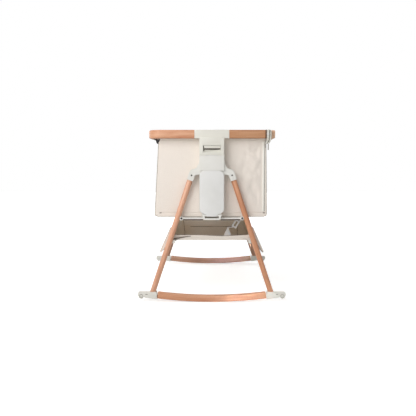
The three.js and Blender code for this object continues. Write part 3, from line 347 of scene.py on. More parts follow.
def cross_section(name, location, tilt, size):
    """A board's end section as one face in edit mode, ready to be extruded or spun."""
    take(None)
    bpy.ops.mesh.primitive_plane_add(size=1, location=location, rotation=(0, tilt, 0))
    piece = named(name, (*size, 1))
    open_mesh(piece)
    return piece


def round_edges(piece, width, segments=3, where=None, degrees=40):
    """Bevels the sharp edges whose middle passes the test."""
    mesh = bmesh.new()
    mesh.from_mesh(piece.data)
    layers = mesh.edges.layers.float
    weight = layers.get("bevel_weight_edge") or layers.new("bevel_weight_edge")
    chosen = 0
    for edge in mesh.edges:
        sharp = edge.is_manifold and edge.calc_face_angle(0) > math.radians(degrees)
        middle = (edge.verts[0].co + edge.verts[1].co) / 2
        edge[weight] = 1.0 if sharp and (where is None or where(middle)) else 0.0
        chosen += edge[weight] > 0
    mesh.to_mesh(piece.data)
    mesh.free()
    if chosen:
        modify(piece, "BEVEL", width=width, segments=segments, limit_method="WEIGHT", use_clamp_overlap=True,
               loop_slide=True)


def repeat(piece, count, step):
    """Copies a small piece along a row."""
    modify(piece, "ARRAY", count=count, use_relative_offset=False, use_constant_offset=True,
           constant_offset_displace=step)


def finished_copy(node, name):
    """A copy of a CAD node with its loose triangles merged into whole faces."""
    piece = bpy.data.objects.new(name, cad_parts[node].data.copy())
    bpy.context.scene.collection.objects.link(piece)
    open_mesh(piece, "VERT")
    if piece.data.has_custom_normals:
        bpy.ops.mesh.customdata_custom_splitnormals_clear()
    bpy.ops.mesh.remove_doubles(threshold=1e-5)
    bpy.ops.mesh.dissolve_limited(angle_limit=math.radians(0.4))
    bpy.ops.object.mode_set(mode="OBJECT")
    return piece


def dress(piece, body, slot, material, *nodes, weave=None):
    """Gives a piece its material and body, hides the CAD nodes it stands for, and gives its weave map; the slot
    is not used.
    """
    if weave:
        weave_map(piece, weave)
    piece.data.materials.clear()
    for each in material if isinstance(material, list) else [material]:
        piece.data.materials.append(each)
    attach(piece, body)
    if nodes:
        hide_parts(*nodes)
    return piece


def repaint(node, material):
    """A CAD node that stays gets its own finish."""
    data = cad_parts[node].data
    data.materials.clear()
    data.materials.append(material)


def set_grain(piece, place):
    """Stores where each point lies in the board: along its grain, across it and through it."""
    grain = piece.data.attributes.new("grain", "FLOAT_VECTOR", "POINT")
    grain.data.foreach_set("vector", [float(c) for v in piece.data.vertices for c in place(v.co)])


def weave_map(piece, place):
    """A UV map in metres of cloth, from each point's place."""
    layer = piece.data.uv_layers.get("weave") or piece.data.uv_layers.new(name="weave")
    for loop in piece.data.loops:
        layer.data[loop.index].uv = place(piece.data.vertices[loop.vertex_index].co)
    piece.data.uv_layers.active = layer


def ease(value, low, high):
    """0 at low, 1 at high, and smooth between."""
    share = min(1.0, max(0.0, (value - low) / (high - low)))
    return share * share * (3 - 2 * share)


def rough(x, y, z=0.0):
    """Smooth noise from -1 to 1."""
    return noise.noise(Vector((x, y, z)))


def cloth_grid(name, columns, rows, place, cut, outward, depth=0.0):
    """A sheet of cloth laid out by place(u, v), with its weave map in metres of the cut, facing outward."""
    take(None)
    bpy.ops.mesh.primitive_grid_add(x_subdivisions=columns, y_subdivisions=rows, size=1)
    piece = bpy.context.object
    piece.name = name
    shares = [(v.co.x + 0.5, v.co.y + 0.5) for v in piece.data.vertices]
    for vertex, (u, v) in zip(piece.data.vertices, shares):
        vertex.co = place(u, v)
    for layer in list(piece.data.uv_layers):
        piece.data.uv_layers.remove(layer)
    layer = piece.data.uv_layers.new(name="weave")
    for loop in piece.data.loops:
        u, v = shares[loop.vertex_index]
        layer.data[loop.index].uv = (u * cut[0], v * cut[1])
    piece.data.update()
    facing = sum((p.normal * p.area for p in piece.data.polygons), Vector())
    if facing.dot(Vector(outward)) < 0:
        open_mesh(piece)
        bpy.ops.mesh.flip_normals()
        close_mesh(piece)
    if depth:
        thicken(piece, depth)
    return piece


def weld(piece):
    """Merges the points that meet where a sheet narrows to a corner."""
    open_mesh(piece, "VERT")
    bpy.ops.mesh.remove_doubles(threshold=0.0002)
    bpy.ops.mesh.dissolve_degenerate(threshold=0.0001)
    close_mesh(piece)


def thicken(piece, depth, lining=0):
    """Gives a sheet its thickness inward; lining is how far on the inner face's material lies."""
    modify(piece, "SOLIDIFY", thickness=depth, offset=-1, material_offset=lining)
    smooth(piece, 50)


def even_points(points, count):
    """A line in X and Z through the points, laid out again with even spacing."""
    points = np.array(points)
    run = np.concatenate([[0], np.cumsum(np.hypot(*np.diff(points, axis=0).T))])
    spots = np.linspace(0, run[-1], count)
    return np.stack([np.interp(spots, run, points[:, 0]), np.interp(spots, run, points[:, 1])], 1)


def relax(line, rounds):
    """Rounds a line's corners: each point moves towards its neighbours."""
    for _ in range(rounds):
        line[1:-1] = (line[:-2] + 2 * line[1:-1] + line[2:]) / 4


def tube(name, points, radius, closed=False, sides=6):
    """A round piping or bar along points."""
    curve = bpy.data.curves.new(name, "CURVE")
    curve.dimensions = "3D"
    curve.bevel_depth = radius
    curve.bevel_resolution = sides // 2
    curve.use_fill_caps = True
    spline = curve.splines.new("POLY")
    spline.points.add(len(points) - 1)
    for point, place in zip(spline.points, points):
        point.co = (*place, 1.0)
    spline.use_cyclic_u = closed
    line = bpy.data.objects.new(name, curve)
    bpy.context.scene.collection.objects.link(line)
    take(line)
    bpy.ops.object.convert(target="MESH")
    piece = bpy.context.object
    smooth(piece, 60)
    return piece


# Wood

def rocker_batten(end, side):
    """A curved batten: its end section spun about the centre of the arc."""
    radius, depth, thickness = 1.95, 0.030, 0.024
    half_length = 0.247
    middle = radius - depth / 2
    half = math.asin(half_length / radius)
    start = (-middle * math.sin(half), side * STAND, radius - middle * math.cos(half))
    piece = cross_section(f"{end}_rocker_batten", start, math.pi / 2 + half, (depth, thickness))
    bpy.ops.mesh.spin(steps=40, angle=2 * half, center=(0, side * STAND, radius), axis=(0, 1, 0))
    close_solid(piece)
    round_edges(piece, 0.0035, 3, lambda p: abs(p.x) < half_length - 0.0005)
    smooth(piece)

    def along(p):
        angle = math.atan2(p.x, radius - p.z)
        return (angle * radius + side, (p.y - side * STAND) + 0.3, math.hypot(p.x, radius - p.z))
    set_grain(piece, along)
    # The far rocker's darker beech is painted shade
    dress(piece, "stand", "beech", far_rocker_painted_shade_beech if side > 0 else rail_beech, f"{end}_rocker")


def leg_pole(end, side, hand_name, hand):
    """A turned round leg with eased ends, its grain along it."""
    tilt = -hand * math.radians(18.59)
    top, foot = Vector((hand * 0.0849, side * STAND, 0.5850)), Vector((hand * 0.2693, side * STAND, 0.0366))
    take(None)
    bpy.ops.mesh.primitive_cylinder_add(vertices=48, radius=0.0123, depth=(top - foot).length,
                                        location=(top + foot) / 2, rotation=(0, tilt, 0))
    piece = named(f"{end}_{hand_name}_leg_pole")
    round_edges(piece, 0.0015, 2)
    smooth(piece)
    down = (foot - top).normalized()
    across = Vector((down.z, 0, -down.x))
    set_grain(piece, lambda p: ((p - top).dot(down) + hand * 3 + side, p.y * 0.7, (p - top).dot(across) + hand))
    # The far legs and the right-hand near legs take darker beech as painted shade
    board = far_leg_painted_shade_beech if side > 0 else right_leg_painted_shade_beech if hand > 0 else leg_beech
    dress(piece, "stand", "beech", board, f"{end}_{hand_name}_leg")


def bent_left_rail():
    """The rail round three sides: a section extruded along, spun round each corner and on."""
    middle = (RAIL_INNER + RAIL_OUTER) / 2
    start, bend = -RAIL_START, -RAIL_SIDE + RAIL_TURN
    piece = cross_section("bent_left_rail", (start, -middle, (RAIL_LOW + RAIL_TOP) / 2), math.pi / 2,
                          (RAIL_TOP - RAIL_LOW, RAIL_OUTER - RAIL_INNER))
    straight = RAIL_OUTER - RAIL_TURN
    bpy.ops.mesh.extrude_region_move(TRANSFORM_OT_translate={"value": (bend - start, 0, 0)})
    bpy.ops.mesh.spin(steps=14, angle=math.pi / 2, center=(bend, -straight, 0), axis=(0, 0, 1))
    bpy.ops.mesh.extrude_region_move(TRANSFORM_OT_translate={"value": (0, 2 * straight, 0)})
    bpy.ops.mesh.spin(steps=14, angle=math.pi / 2, center=(bend, straight, 0), axis=(0, 0, 1))
    bpy.ops.mesh.extrude_region_move(TRANSFORM_OT_translate={"value": (start - bend, 0, 0)})
    close_solid(piece)
    round_edges(piece, 0.0062, 5, lambda p: p.x < start - 0.001)
    smooth(piece)
    radius = RAIL_TURN - (RAIL_OUTER - RAIL_INNER) / 2
    quarter = radius * math.pi / 2

    def along(p):
        # Along the near end, round the corner, and along the side; the far end mirrors the near
        side = -1 if p.y < 0 else 1
        if p.x > bend:
            return (side * (straight + quarter - bend - p.x), side * p.y, p.z)
        if abs(p.y) > straight:
            past, out = abs(p.y) - straight, bend - p.x
            return (side * (straight + radius * math.atan2(past, out)), math.hypot(out, past) + straight, p.z)
        return (p.y, bend - p.x + straight, p.z)
    set_grain(piece, along)
    dress(piece, "bassinet", "beech", rail_beech, "left_rail")


def short_rail(end, side):
    """The short rail from the housing to the opening corner, its edges eased but for its housing end."""
    piece = block(f"{end}_short_rail", (RAIL_START, side * RAIL_INNER, RAIL_LOW),
                  (0.2363, side * RAIL_OUTER, RAIL_TOP))
    round_edges(piece, 0.0045, 4, lambda p: 0.08 < p.x < 0.23 or p.x > 0.23)
    smooth(piece)
    set_grain(piece, lambda p: (p.x + 5 * side, p.y * side + 0.3, p.z))
    # The right-hand rail's darker beech is painted shade
    dress(piece, "bassinet", "beech", right_rail_painted_shade_beech, f"{end}_right_rail")


def drop_rail_bar():
    """The rail of the opening side: wider edges, rounded ends."""
    piece = eased_block("drop_rail_bar", (0.257, -0.438, RAIL_LOW), (RAIL_SIDE, 0.438, RAIL_TOP), 0.006, 5)
    set_grain(piece, lambda p: (p.y + 9, p.x, p.z))
    # The drop rail's paler beech is painted light
    dress(piece, "drop_side", "beech", drop_rail_painted_light_beech, "drop_rail")


for end, side in ENDS:
    rocker_batten(end, side)
    short_rail(end, side)
    for hand_name, hand in HANDS:
        leg_pole(end, side, hand_name, hand)
bent_left_rail()
drop_rail_bar()


# Moulded and metal pieces

def moulded(node, name, body, material, wide=0.0, where=None, narrow=0.0007, slot="off_white_plastic"):
    """A moulded piece from its CAD form: wide soft edges where they show, narrow ones elsewhere."""
    piece = finished_copy(node, name)
    if wide:
        round_edges(piece, wide, 4, where)
    round_edges(piece, narrow, 2, None, 50)
    smooth(piece, 38)
    return dress(piece, body, slot, material, node)


def column_shell(end, side):
    """The column's cover, with the chin that laps over the crossbar's frame."""
    cover = finished_copy(f"{end}_column_cover", f"{end}_column_shell")
    round_edges(cover, 0.009, 5, lambda p: abs(abs(p.y) - 0.455) < 0.004 and (p.z > 0.57 or p.z < 0.425))
    round_edges(cover, 0.0045, 4, lambda p: side * p.y > STAND + 0.024)
    round_edges(cover, 0.0007, 2, None, 50)
    smooth(cover, 38)
    dress(cover, "stand", "cover_plastic", cover_plastic, f"{end}_column_cover")
    chin = block(f"{end}_cover_chin", (-0.0310, side * 0.4722, 0.3892), (0.0310, side * 0.4741, 0.4075))
    for vertex in chin.data.vertices:
        if vertex.co.z < 0.395:
            vertex.co.x *= 0.70
    round_edges(chin, 0.0008, 2)
    smooth(chin)
    dress(chin, "stand", "cover_plastic", cover_plastic)


def rocker_shoe(end, side, hand_name, hand):
    """A rocker's socket with its foot lever, the ring round the lever's pivot and the slot beside it, both in
    dark grey as painted shade.
    """
    corner = f"{end}_{hand_name}"
    moulded(f"{corner}_rocker_socket", f"{corner}_rocker_shoe", "stand", socket_plastic, 0.0022,
            lambda p: abs(abs(p.y) - STAND) > 0.0145 and p.z > 0.012)
    moulded(f"{corner}_foot", f"{corner}_foot_lever_arm", f"{corner}_foot_lever", socket_plastic, 0.001,
            lambda p: abs(abs(p.y) - STAND) > 0.0045)
    low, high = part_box(f"{corner}_rocker_socket")
    face = high[1] if side > 0 else low[1]
    pivot_x, pivot_z, radius = hand * 0.318, 0.0285, 0.0075
    ring = tube(f"{corner}_pivot_ring", [(pivot_x + radius * math.cos(a), face, pivot_z + radius * math.sin(a))
                                         for a in np.linspace(0, 2 * math.pi, 33)[:-1]], 0.0009, closed=True)
    dress(ring, "stand", "off_white_plastic", rib_shade)
    slot_x = hand * 0.2940
    slot = eased_block(f"{corner}_socket_slot", (slot_x - 0.0050, face - side * 0.0010, 0.0345),
                       (slot_x + 0.0050, face + side * 0.0003, 0.0380), 0.0002, 1)
    dress(slot, "stand", "off_white_plastic", rib_shade)


for end, side in ENDS:
    moulded(f"{end}_leg_hub", f"{end}_leg_yoke", "stand", hub_plastic, 0.0028,
            lambda p: side * p.y > STAND + 0.012)
    column_shell(end, side)
    moulded(f"{end}_housing", f"{end}_top_housing", "bassinet", housing_plastic, 0.0024,
            lambda p: side * p.y > STAND + 0.016 and (p.z > 0.704 or abs(p.x) > 0.05))
    bar = moulded(f"{end}_release_handle", f"{end}_pull_handle", f"{end}_handle", housing_plastic, 0.0022,
                  lambda p: side * p.y > STAND + 0.0205)
    # The bar stops short at one end, where the recess and the painted-shade strip behind it show
    for vertex in bar.data.vertices:
        if vertex.co.x * side > 0.030:
            vertex.co.x -= side * 0.0038
    moulded(f"{end}_crossbar", f"{end}_crossbar_casting", "stand", white_metal, 0.0014,
            lambda p: abs(p.x) < 0.05, slot="white_metal")
    moulded(f"{end}_corner_bracket", f"{end}_corner_cap", "bassinet", housing_plastic, 0.003,
            lambda p: p.z > 0.765 or p.z < 0.738)
    moulded(f"{end}_rail_catch", f"{end}_rail_catch_block", "drop_side", socket_plastic)
    moulded(f"{end}_catch_button", f"{end}_catch_press_button", f"{end}_button", cover_plastic, 0.0012,
            lambda p: side * p.y > 0.467)
    for hand_name, hand in HANDS:
        rocker_shoe(end, side, hand_name, hand)
        corner = f"{end}_{hand_name}"
        moulded(f"{corner}_basket_clip", f"{corner}_basket_hook", "stand", socket_plastic, 0.0015)
        repaint(f"{corner}_leg_screw", screw_metal)
    repaint(f"{end}_column_sleeve", column_metal)
    repaint(f"{end}_inner_column", column_metal)
    repaint(f"{end}_latch_bolt", bolt_metal)
    moulded(f"{end}_zip_slider", f"{end}_zip_slider_pull", f"{end}_zip", zip_metal, 0.0006, narrow=0.0003,
            slot="zip_metal")
moulded("base_frame", "base_frame_tubes", "bassinet", white_metal, 0.0018, slot="white_metal")
moulded("base_board", "base_fibre_board", "bassinet", fibre_board, slot="base_board")
moulded("fabric_hook_strip", "side_hook_strip", "bassinet", black_plastic, narrow=0.0005, slot="black_plastic")


# Fabric walls

def left_edge(z):
    """The end wall's left edge, which runs out by 21 mm on its way down."""
    return -0.236 - 0.021 * (WALL_CORNER - z) / 0.343


def right_edge(z):
    """The end wall's right edge, nearly upright."""
    return 0.241 + 0.007 * (WALL_CORNER - z) / 0.343


def wall_height(v):
    """The height of a row: the rows lie closer in the lowest 32 mm, where the seam is."""
    share, band = 0.15, 0.032
    if v < share:
        return WALL_LOW + band * v / share
    return WALL_LOW + band + (WALL_TOP - WALL_LOW - band) * (v - share) / (1 - share)


def seam_groove(z):
    """The bottom seam pulls the cloth in by 1.6 mm."""
    return -0.0016 * math.exp(-((z - SEAM) / 0.0022) ** 2)


def end_relief(x, z, side):
    """How far the taut end wall stands out, in metres: a shallow dome, soft folds, gathers by the zip."""
    right = right_edge(z)
    u, v = (x - left_edge(z)) / (right - left_edge(z)), (z - WALL_LOW) / (WALL_TOP - WALL_LOW)
    rim = ease(z, 0.406, 0.44) * (1 - ease(z, 0.722, 0.733)) * ease(u, 0.0, 0.06) * ease(right - x, 0.011, 0.03)
    # The cloth lies flat behind the housing
    calm = 1 - (1 - ease(abs(x), 0.058, 0.085)) * ease(z, 0.63, 0.66)
    dome = 0.0019 * math.sin(math.pi * u) * math.sin(math.pi * v)
    folds = 0.0008 * rough(x * 11, z * 2.6, side * 3) + 0.00035 * rough(x * 34, z * 7, side * 5)
    gather = ease(x, 0.12, 0.2)
    folds += 0.0011 * gather * rough(x * 30 + z * 9, z * 26, side * 7)
    # Folds that run to the rail's two ends, and a crumpled patch on the opening side
    pulled = ease(z, 0.6, 0.72) * ease(abs(x), 0.12, 0.22)
    folds += 0.0011 * pulled * rough((abs(x) + z) * 42, (abs(x) - z) * 9, side * 2)
    crumple = ease(x, 0.10, 0.17) * (1 - ease(x, 0.205, 0.216)) * ease(z, 0.42, 0.46)
    folds += crumple * (0.0062 * rough(x * 24 + z * 16, z * 22 - x * 12, side * 9)
                        + 0.0016 * rough(x * 60, z * 38, side))
    relief = rim * calm * (dome + folds + 0.0006) + seam_groove(z)
    if x > 0:
        # The groove beside the zip's flap
        groove = 0.0016 * math.exp(-((x - 0.2205) / 0.0040) ** 2) * ease(z, 0.41, 0.43)
        relief -= groove * (1 - ease(z, 0.70, 0.72))
    return relief


def end_wall(end, side):
    """The fabric wall of one end, rounded at its lower corners, with its hems, piping and zip."""
    def place(u, v):
        z = wall_height(v)
        low = max(0.0, WALL_TURN - (z - WALL_LOW))
        inset = WALL_TURN - math.sqrt(max(0.0, WALL_TURN ** 2 - low ** 2))
        left, right = left_edge(z) + inset, right_edge(z) - inset
        x = left + (right - left) * u
        return (x, side * (WALL_FACE - 0.0002 + end_relief(x, z, side)), z)
    wall = cloth_grid(f"{end}_end_wall", 110, 96, place, (0.50, 0.348), (0, side, 0), 0.0022)
    dress(wall, *ON_WALL, wall_cloth, f"{end}_end_panel")

    # Piping round the wall's free edge, from one top corner down and up to the other; its pale grey is partly
    # painted shade along the edge
    bend = WALL_LOW + WALL_TURN
    outline = [(left_edge(z) + 0.0006, z) for z in np.linspace(WALL_CORNER, bend + 0.002, 40)]
    outline += [(left_edge(bend) + WALL_TURN - WALL_TURN * math.cos(a), bend - WALL_TURN * math.sin(a))
                for a in np.linspace(0.1, math.pi / 2, 9)]
    outline += [(right_edge(bend) - WALL_TURN + WALL_TURN * math.sin(a), bend - WALL_TURN * math.cos(a))
                for a in np.linspace(0, math.pi / 2 - 0.1, 9)]
    outline += [(right_edge(z) - 0.0006, z) for z in np.linspace(bend + 0.002, WALL_CORNER, 40)]
    piping = tube(f"{end}_wall_piping", [(x, side * 0.4268, z) for x, z in outline], 0.0021)
    trims = [dress(piping, *ON_WALL, pale_grey_edge_shade_cloth, weave=lambda p: (p.x + p.z, p.y * 3))]
    # The top hems folded out under the rails
    for label, low, high in (("left", -0.2305, -0.0605), ("right", 0.0605, 0.2348)):
        hem = eased_block(f"{end}_{label}_top_hem", (low, side * 0.4235, HEM_LOW),
                          (high, side * 0.4528, HEM_TOP), 0.0009)
        trims.append(dress(hem, *ON_WALL, hem_cloth, weave=lambda p: (p.x, p.y + p.z)))

    # The flap beside the zip, lighter than the wall: partly its own colour, partly a painted highlight
    def flap_place(u, v):
        x, z = 0.2262 + 0.0090 * u, 0.4080 + 0.3130 * v
        lift = 0.0016 * math.sin(math.pi * min(1.0, u * 1.02)) ** 0.5 + 0.0003 * rough(z * 40, u * 2, side)
        return (x, side * (WALL_FACE + 0.0006 + lift), z)
    flap = cloth_grid(f"{end}_zip_flap", 8, 90, flap_place, (0.009, 0.313), (0, side, 0), 0.0009)
    trims.append(dress(flap, *ON_WALL, cream_tape_and_highlight_cloth))
    # The zip's tape, between the flap and the teeth: its dark grey is partly its own colour and partly painted
    # shade of the gap there
    tape = block(f"{end}_zip_tape", (0.2354, side * 0.4270, 0.4090), (0.2373, side * 0.4283, 0.7180))
    round_edges(tape, 0.0003, 1)
    trims.append(dress(tape, *ON_WALL, grey_tape_and_shade_cloth, weave=lambda p: (p.x, p.z)))
    # Two rows of coil teeth, 2.2 mm apart
    for hand_name, hand in HANDS:
        tooth = block(f"{end}_zip_teeth_{hand_name}", (0.2395 + hand * 0.0003, side * 0.4272, 0.4100),
                      (0.2395 + hand * 0.0022, side * 0.4282, 0.4113))
        round_edges(tooth, 0.0003, 1)
        repeat(tooth, 132, (0, 0, 0.0022))
        trims.append(dress(tooth, "bassinet", "zip_metal", socket_plastic))
    # Lock stitches along the bottom seam, 3.4 mm apart
    stitch = block(f"{end}_seam_stitches", (-0.2320, side * 0.4268, SEAM - STITCH),
                   (-0.2298, side * 0.4275, SEAM + STITCH))
    round_edges(stitch, 0.0002, 1)
    repeat(stitch, 134, (0.0034, 0, 0))
    trims.append(dress(stitch, *ON_WALL, hem_cloth, weave=lambda p: (p.x, p.z)))
    # Bar tacks where the bottom seam meets the side seams
    for label, x in (("left", -0.2350), ("right", 0.2300)):
        tack = block(f"{end}_{label}_bar_tack", (x, side * 0.4266, SEAM - 0.0016),
                     (x + 0.0090, side * 0.4290, SEAM + 0.0016))
        round_edges(tack, 0.0006, 2)
        trims.append(dress(tack, *ON_WALL, taupe_thread_and_shade_cloth, weave=lambda p: (p.x, p.z)))


def side_relief(y, z, seed):
    """The long wall's form: it bellies out a little between its seams."""
    v = (z - WALL_LOW) / (WALL_TOP - WALL_LOW)
    u = (y + SIDE_HALF) / (2 * SIDE_HALF)
    rim = ease(z, 0.406, 0.44) * (1 - ease(z, 0.66, 0.70)) * ease(u, 0.0, 0.03) * ease(1 - u, 0.0, 0.03)
    bays = abs(math.sin(1.5 * math.pi * u * 2)) ** 0.5
    belly = 0.0030 * bays * math.sin(math.pi * v)
    folds = 0.0011 * rough(y * 9, z * 3, seed) + 0.0004 * rough(y * 30, z * 8, seed + 2)
    return rim * (belly + folds) + seam_groove(z)


def side_wall(name, edge, outward, seed, node, hem_reach):
    """A long fabric wall with its hem, bottom piping and stitches; the end walls' piping closes its ends."""
    def place(u, v):
        z = wall_height(v)
        y = -SIDE_HALF + 2 * SIDE_HALF * u
        return (edge(z) + outward * (side_relief(y, z, seed) - 0.0002), y, z)
    wall = cloth_grid(name, 150, 80, place, (2 * SIDE_HALF, 0.348), (outward, 0, 0), 0.0022)
    dress(wall, *ON_WALL, wall_cloth, node)

    root = edge(0.7317) - outward * 0.003
    hem = eased_block(f"{name}_top_hem", (min(root, hem_reach), -0.394, HEM_LOW),
                      (max(root, hem_reach), 0.394, HEM_TOP), 0.0009)
    dress(hem, *ON_WALL, hem_cloth, weave=lambda p: (p.y, p.x + p.z))

    # The bottom piping's pale grey is partly painted shade along the edge
    piping = tube(f"{name}_bottom_piping", [(edge(WALL_LOW) - outward * 0.0012, y, WALL_LOW + 0.0012)
                                            for y in np.linspace(-0.412, 0.412, 60)], 0.0019)
    dress(piping, *ON_WALL, pale_grey_edge_shade_cloth, weave=lambda p: (p.y, (p.x + p.z) * 2))

    face = edge(SEAM)
    stitch = block(f"{name}_seam_stitches", (face - outward * 0.0013, -0.4000, SEAM - STITCH),
                   (face - outward * 0.0005, -0.3978, SEAM + STITCH))
    round_edges(stitch, 0.0002, 1)
    repeat(stitch, 234, (0, 0.0034, 0))
    dress(stitch, *ON_WALL, hem_cloth, weave=lambda p: (p.y, p.z))
    return [wall, hem, piping, stitch]


for end, side in ENDS:
    end_wall(end, side)
side_wall("left_side_wall", left_edge, -1, 11, "left_side_panel", -0.269)
for piece in side_wall("drop_side_wall", right_edge, 1, 17, "drop_side_panel", 0.274):
    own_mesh(piece)


# Mattress

def mattress_pad():
    """A foam block in ticking, swollen by simulation and piped round both edges."""
    low, high = Vector((-0.2428, -0.4136, 0.4090)), Vector((0.2343, 0.4136, 0.4530))
    # The pad may swell by this much, and stays inside the space of its CAD solid
    cap = 0.006
    room = ((-0.2474, 0.2392), (-0.4190, 0.4190), (0.4062, 0.4605))
    pad = block("mattress_pad", low, high)
    round_edges(pad, 0.010, 3)
    modify(pad, "REMESH", mode="VOXEL", voxel_size=0.0085)
    rest = np.array([v.co for v in pad.data.vertices])
    take(pad)
    cloth = pad.modifiers.new("cloth", "CLOTH")
    cloth.settings.use_pressure = True
    cloth.settings.uniform_pressure_force = 4.0
    cloth.settings.effector_weights.gravity = 0.0
    cloth.settings.tension_stiffness = 20
    cloth.settings.compression_stiffness = 20
    for step in range(1, 21):
        bpy.context.scene.frame_set(step)
    bpy.ops.object.modifier_apply(modifier=cloth.name)
    bpy.context.scene.frame_set(1)
    for vertex, start in zip(pad.data.vertices, rest):
        move = np.array(vertex.co) - start
        reach = float(np.linalg.norm(move))
        if reach > cap:
            move *= cap / reach
        x, y, z = start + move
        if start[2] > (low.z + high.z) / 2:
            u, v = (start[0] - low.x) / (high.x - low.x), (start[1] - low.y) / (high.y - low.y)
            crown = math.sin(math.pi * min(1, max(0, u))) ** 0.6 * math.sin(math.pi * min(1, max(0, v))) ** 0.6
            z += 0.004 * crown + 0.0006 * rough(x * 14, y * 14, 4)
        vertex.co = [min(most, max(least, c)) for c, (least, most) in zip((x, y, z), room)]
    modify(pad, "SUBSURF", levels=1, render_levels=1)
    smooth(pad, 60)
    dress(pad, "bassinet", "mattress_fabric", ticking, "mattress",
          weave=lambda p: (p.x + (p.z if abs(p.x) > 0.23 else 0), p.y + (p.z if abs(p.y) > 0.405 else 0)))
    # The piping follows the pad's outline, with rounded corners
    turn = 0.022
    corners = ((0.2372, 0.4164, 0), (-0.2452, 0.4164, 90), (-0.2452, -0.4164, 180), (0.2372, -0.4164, 270))
    for label, z in (("top", 0.4490), ("bottom", 0.4125)):
        ring = []
        for x, y, start in corners:
            for angle in np.radians(range(start, start + 91, 10)):
                ring.append((x - math.copysign(turn, x) + turn * math.cos(angle),
                             y - math.copysign(turn, y) + turn * math.sin(angle), z))
        piping = tube(f"mattress_{label}_piping", ring, 0.0022, closed=True)
        dress(piping, "bassinet", "mattress_fabric", hem_cloth, weave=lambda p: (p.x + p.y, p.z * 3))


mattress_pad()


# Storage basket: a sling that sags along its length, its sides turned up and its ends hemmed

def basket_bend(y):
    """Where the floor starts to turn towards its side walls."""
    return 0.176 + 0.010 * abs(y / BASKET_HALF)


def floor_seam(y):
    """The two long seams of the floor, drawn in towards the middle of the length."""
    return 0.143 + 0.030 * (y / BASKET_HALF) ** 2


def basket_line(y, count=73):
    """The basket's outer line across X at a place along it, evenly spaced and rounded at its corners."""
    edge_z = 0.217
    centre = 0.225 + 0.0545 * abs(y / BASKET_HALF) ** 1.2
    for seam in (0.107, 0.240):
        centre -= 0.0022 * math.exp(-((abs(y) - seam) / 0.010) ** 2)
    top = 0.335 - 0.030 * (1 - (y / BASKET_HALF) ** 2)
    xs = np.linspace(-BASKET_FLOOR, BASKET_FLOOR, 160)
    bend = basket_bend(y)
    across = np.clip((abs(xs) - bend) / (BASKET_FLOOR - bend), 0, 1)
    floor = edge_z + (centre - edge_z) * (1 + np.cos(np.pi * across)) / 2
    climb = np.linspace(1, 0, 44)[:-1]
    wall_x, wall_z = BASKET_FLOOR - 0.052 * climb, edge_z + (top - edge_z) * climb
    line = np.array([*zip(-wall_x, wall_z), *zip(xs, floor), *zip(wall_x[::-1], wall_z[::-1])])
    relax(line, 14)
    return even_points(line, count)


def basket_sling():
    """The floor and long sides in one cloth, its seams and bindings, and its two ends."""
    columns, rows = 96, 110
    half = BASKET_HALF - 0.0012
    lines = {}

    def place(u, v):
        y = -half + 2 * half * v
        key = round(v * rows)
        if key not in lines:
            lines[key] = basket_line(y, columns + 1)
        x, z = lines[key][round(u * columns)]
        slack = ease(BASKET_HALF - abs(y), 0.0, 0.06)
        wave = 0.0012 * rough(x * 12, y * 7, 3) + 0.0007 * rough(x * 30, y * 16, 8)
        pleat = 0.0020 * math.exp(-((abs(x) - floor_seam(y)) / 0.006) ** 2)
        return (x, y, z + 0.0008 + slack * (wave - pleat) * (0.3 if abs(x) > 0.2 else 1.0))
    sling = cloth_grid("basket_sling", columns, rows, place, (0.78, 0.87), (0, 0, -1))
    dress(sling, *ON_BASKET, [wall_cloth, lining_cloth], "storage_basket")
    thicken(sling, 0.0024, 1)
    trims = []

    # Seams on the lining, where the floor turns up and between its bays, darkened as painted shade of the
    # creases there
    for hand_name, hand in HANDS:
        points = []
        for y in np.linspace(-0.42, 0.42, 90):
            line = basket_line(y, 400)
            x, z = line[np.argmin(abs(line[:, 0] - hand * floor_seam(y)))]
            points.append((x, y, z + 0.0030))
        seam = tube(f"basket_{hand_name}_floor_seam", points, 0.0011)
        trims.append(dress(seam, *ON_BASKET, taupe_thread_and_shade_cloth, weave=lambda p: (p.y, p.x)))
    for end, side in ENDS:
        y = side * 0.236
        line = basket_line(y, 400)
        points = [(x, y, float(np.interp(x, line[:, 0], line[:, 1])) + 0.0034)
                  for x in np.linspace(-0.118, 0.118, 60)]
        seam = tube(f"{end}_basket_cross_seam", points, 0.0019)
        trims.append(dress(seam, *ON_BASKET, taupe_thread_and_shade_cloth, weave=lambda p: (p.x, p.y)))
    # The bound upper edges of the long sides
    for hand_name, hand in HANDS:
        points = []
        for y in np.linspace(-0.428, 0.428, 90):
            x, z = basket_line(y)[-1 if hand > 0 else 0]
            points.append((x - hand * 0.0012, y, z + 0.0002))
        binding = tube(f"basket_{hand_name}_edge_binding", points, 0.0026)
        trims.append(dress(binding, *ON_BASKET, hem_cloth, weave=lambda p: (p.y, p.x + p.z)))
    for end, side in ENDS:
        trims += basket_end(end, side)


def hem_dip(x):
    """How far the hem sags between the clips, most on the opening side."""
    return 0.0044 * np.exp(-((x - 0.05) / 0.07) ** 2)


def hem_line(count):
    """The end wall's upper edge: nearly level between the clips and rising to the sides."""
    line = even_points([(-0.186, 0.335), (-0.1655, 0.302), (-0.150, 0.300),
                        (0.150, 0.300), (0.1655, 0.302), (0.186, 0.335)], count)
    line[:, 1] -= hem_dip(line[:, 0])
    return line


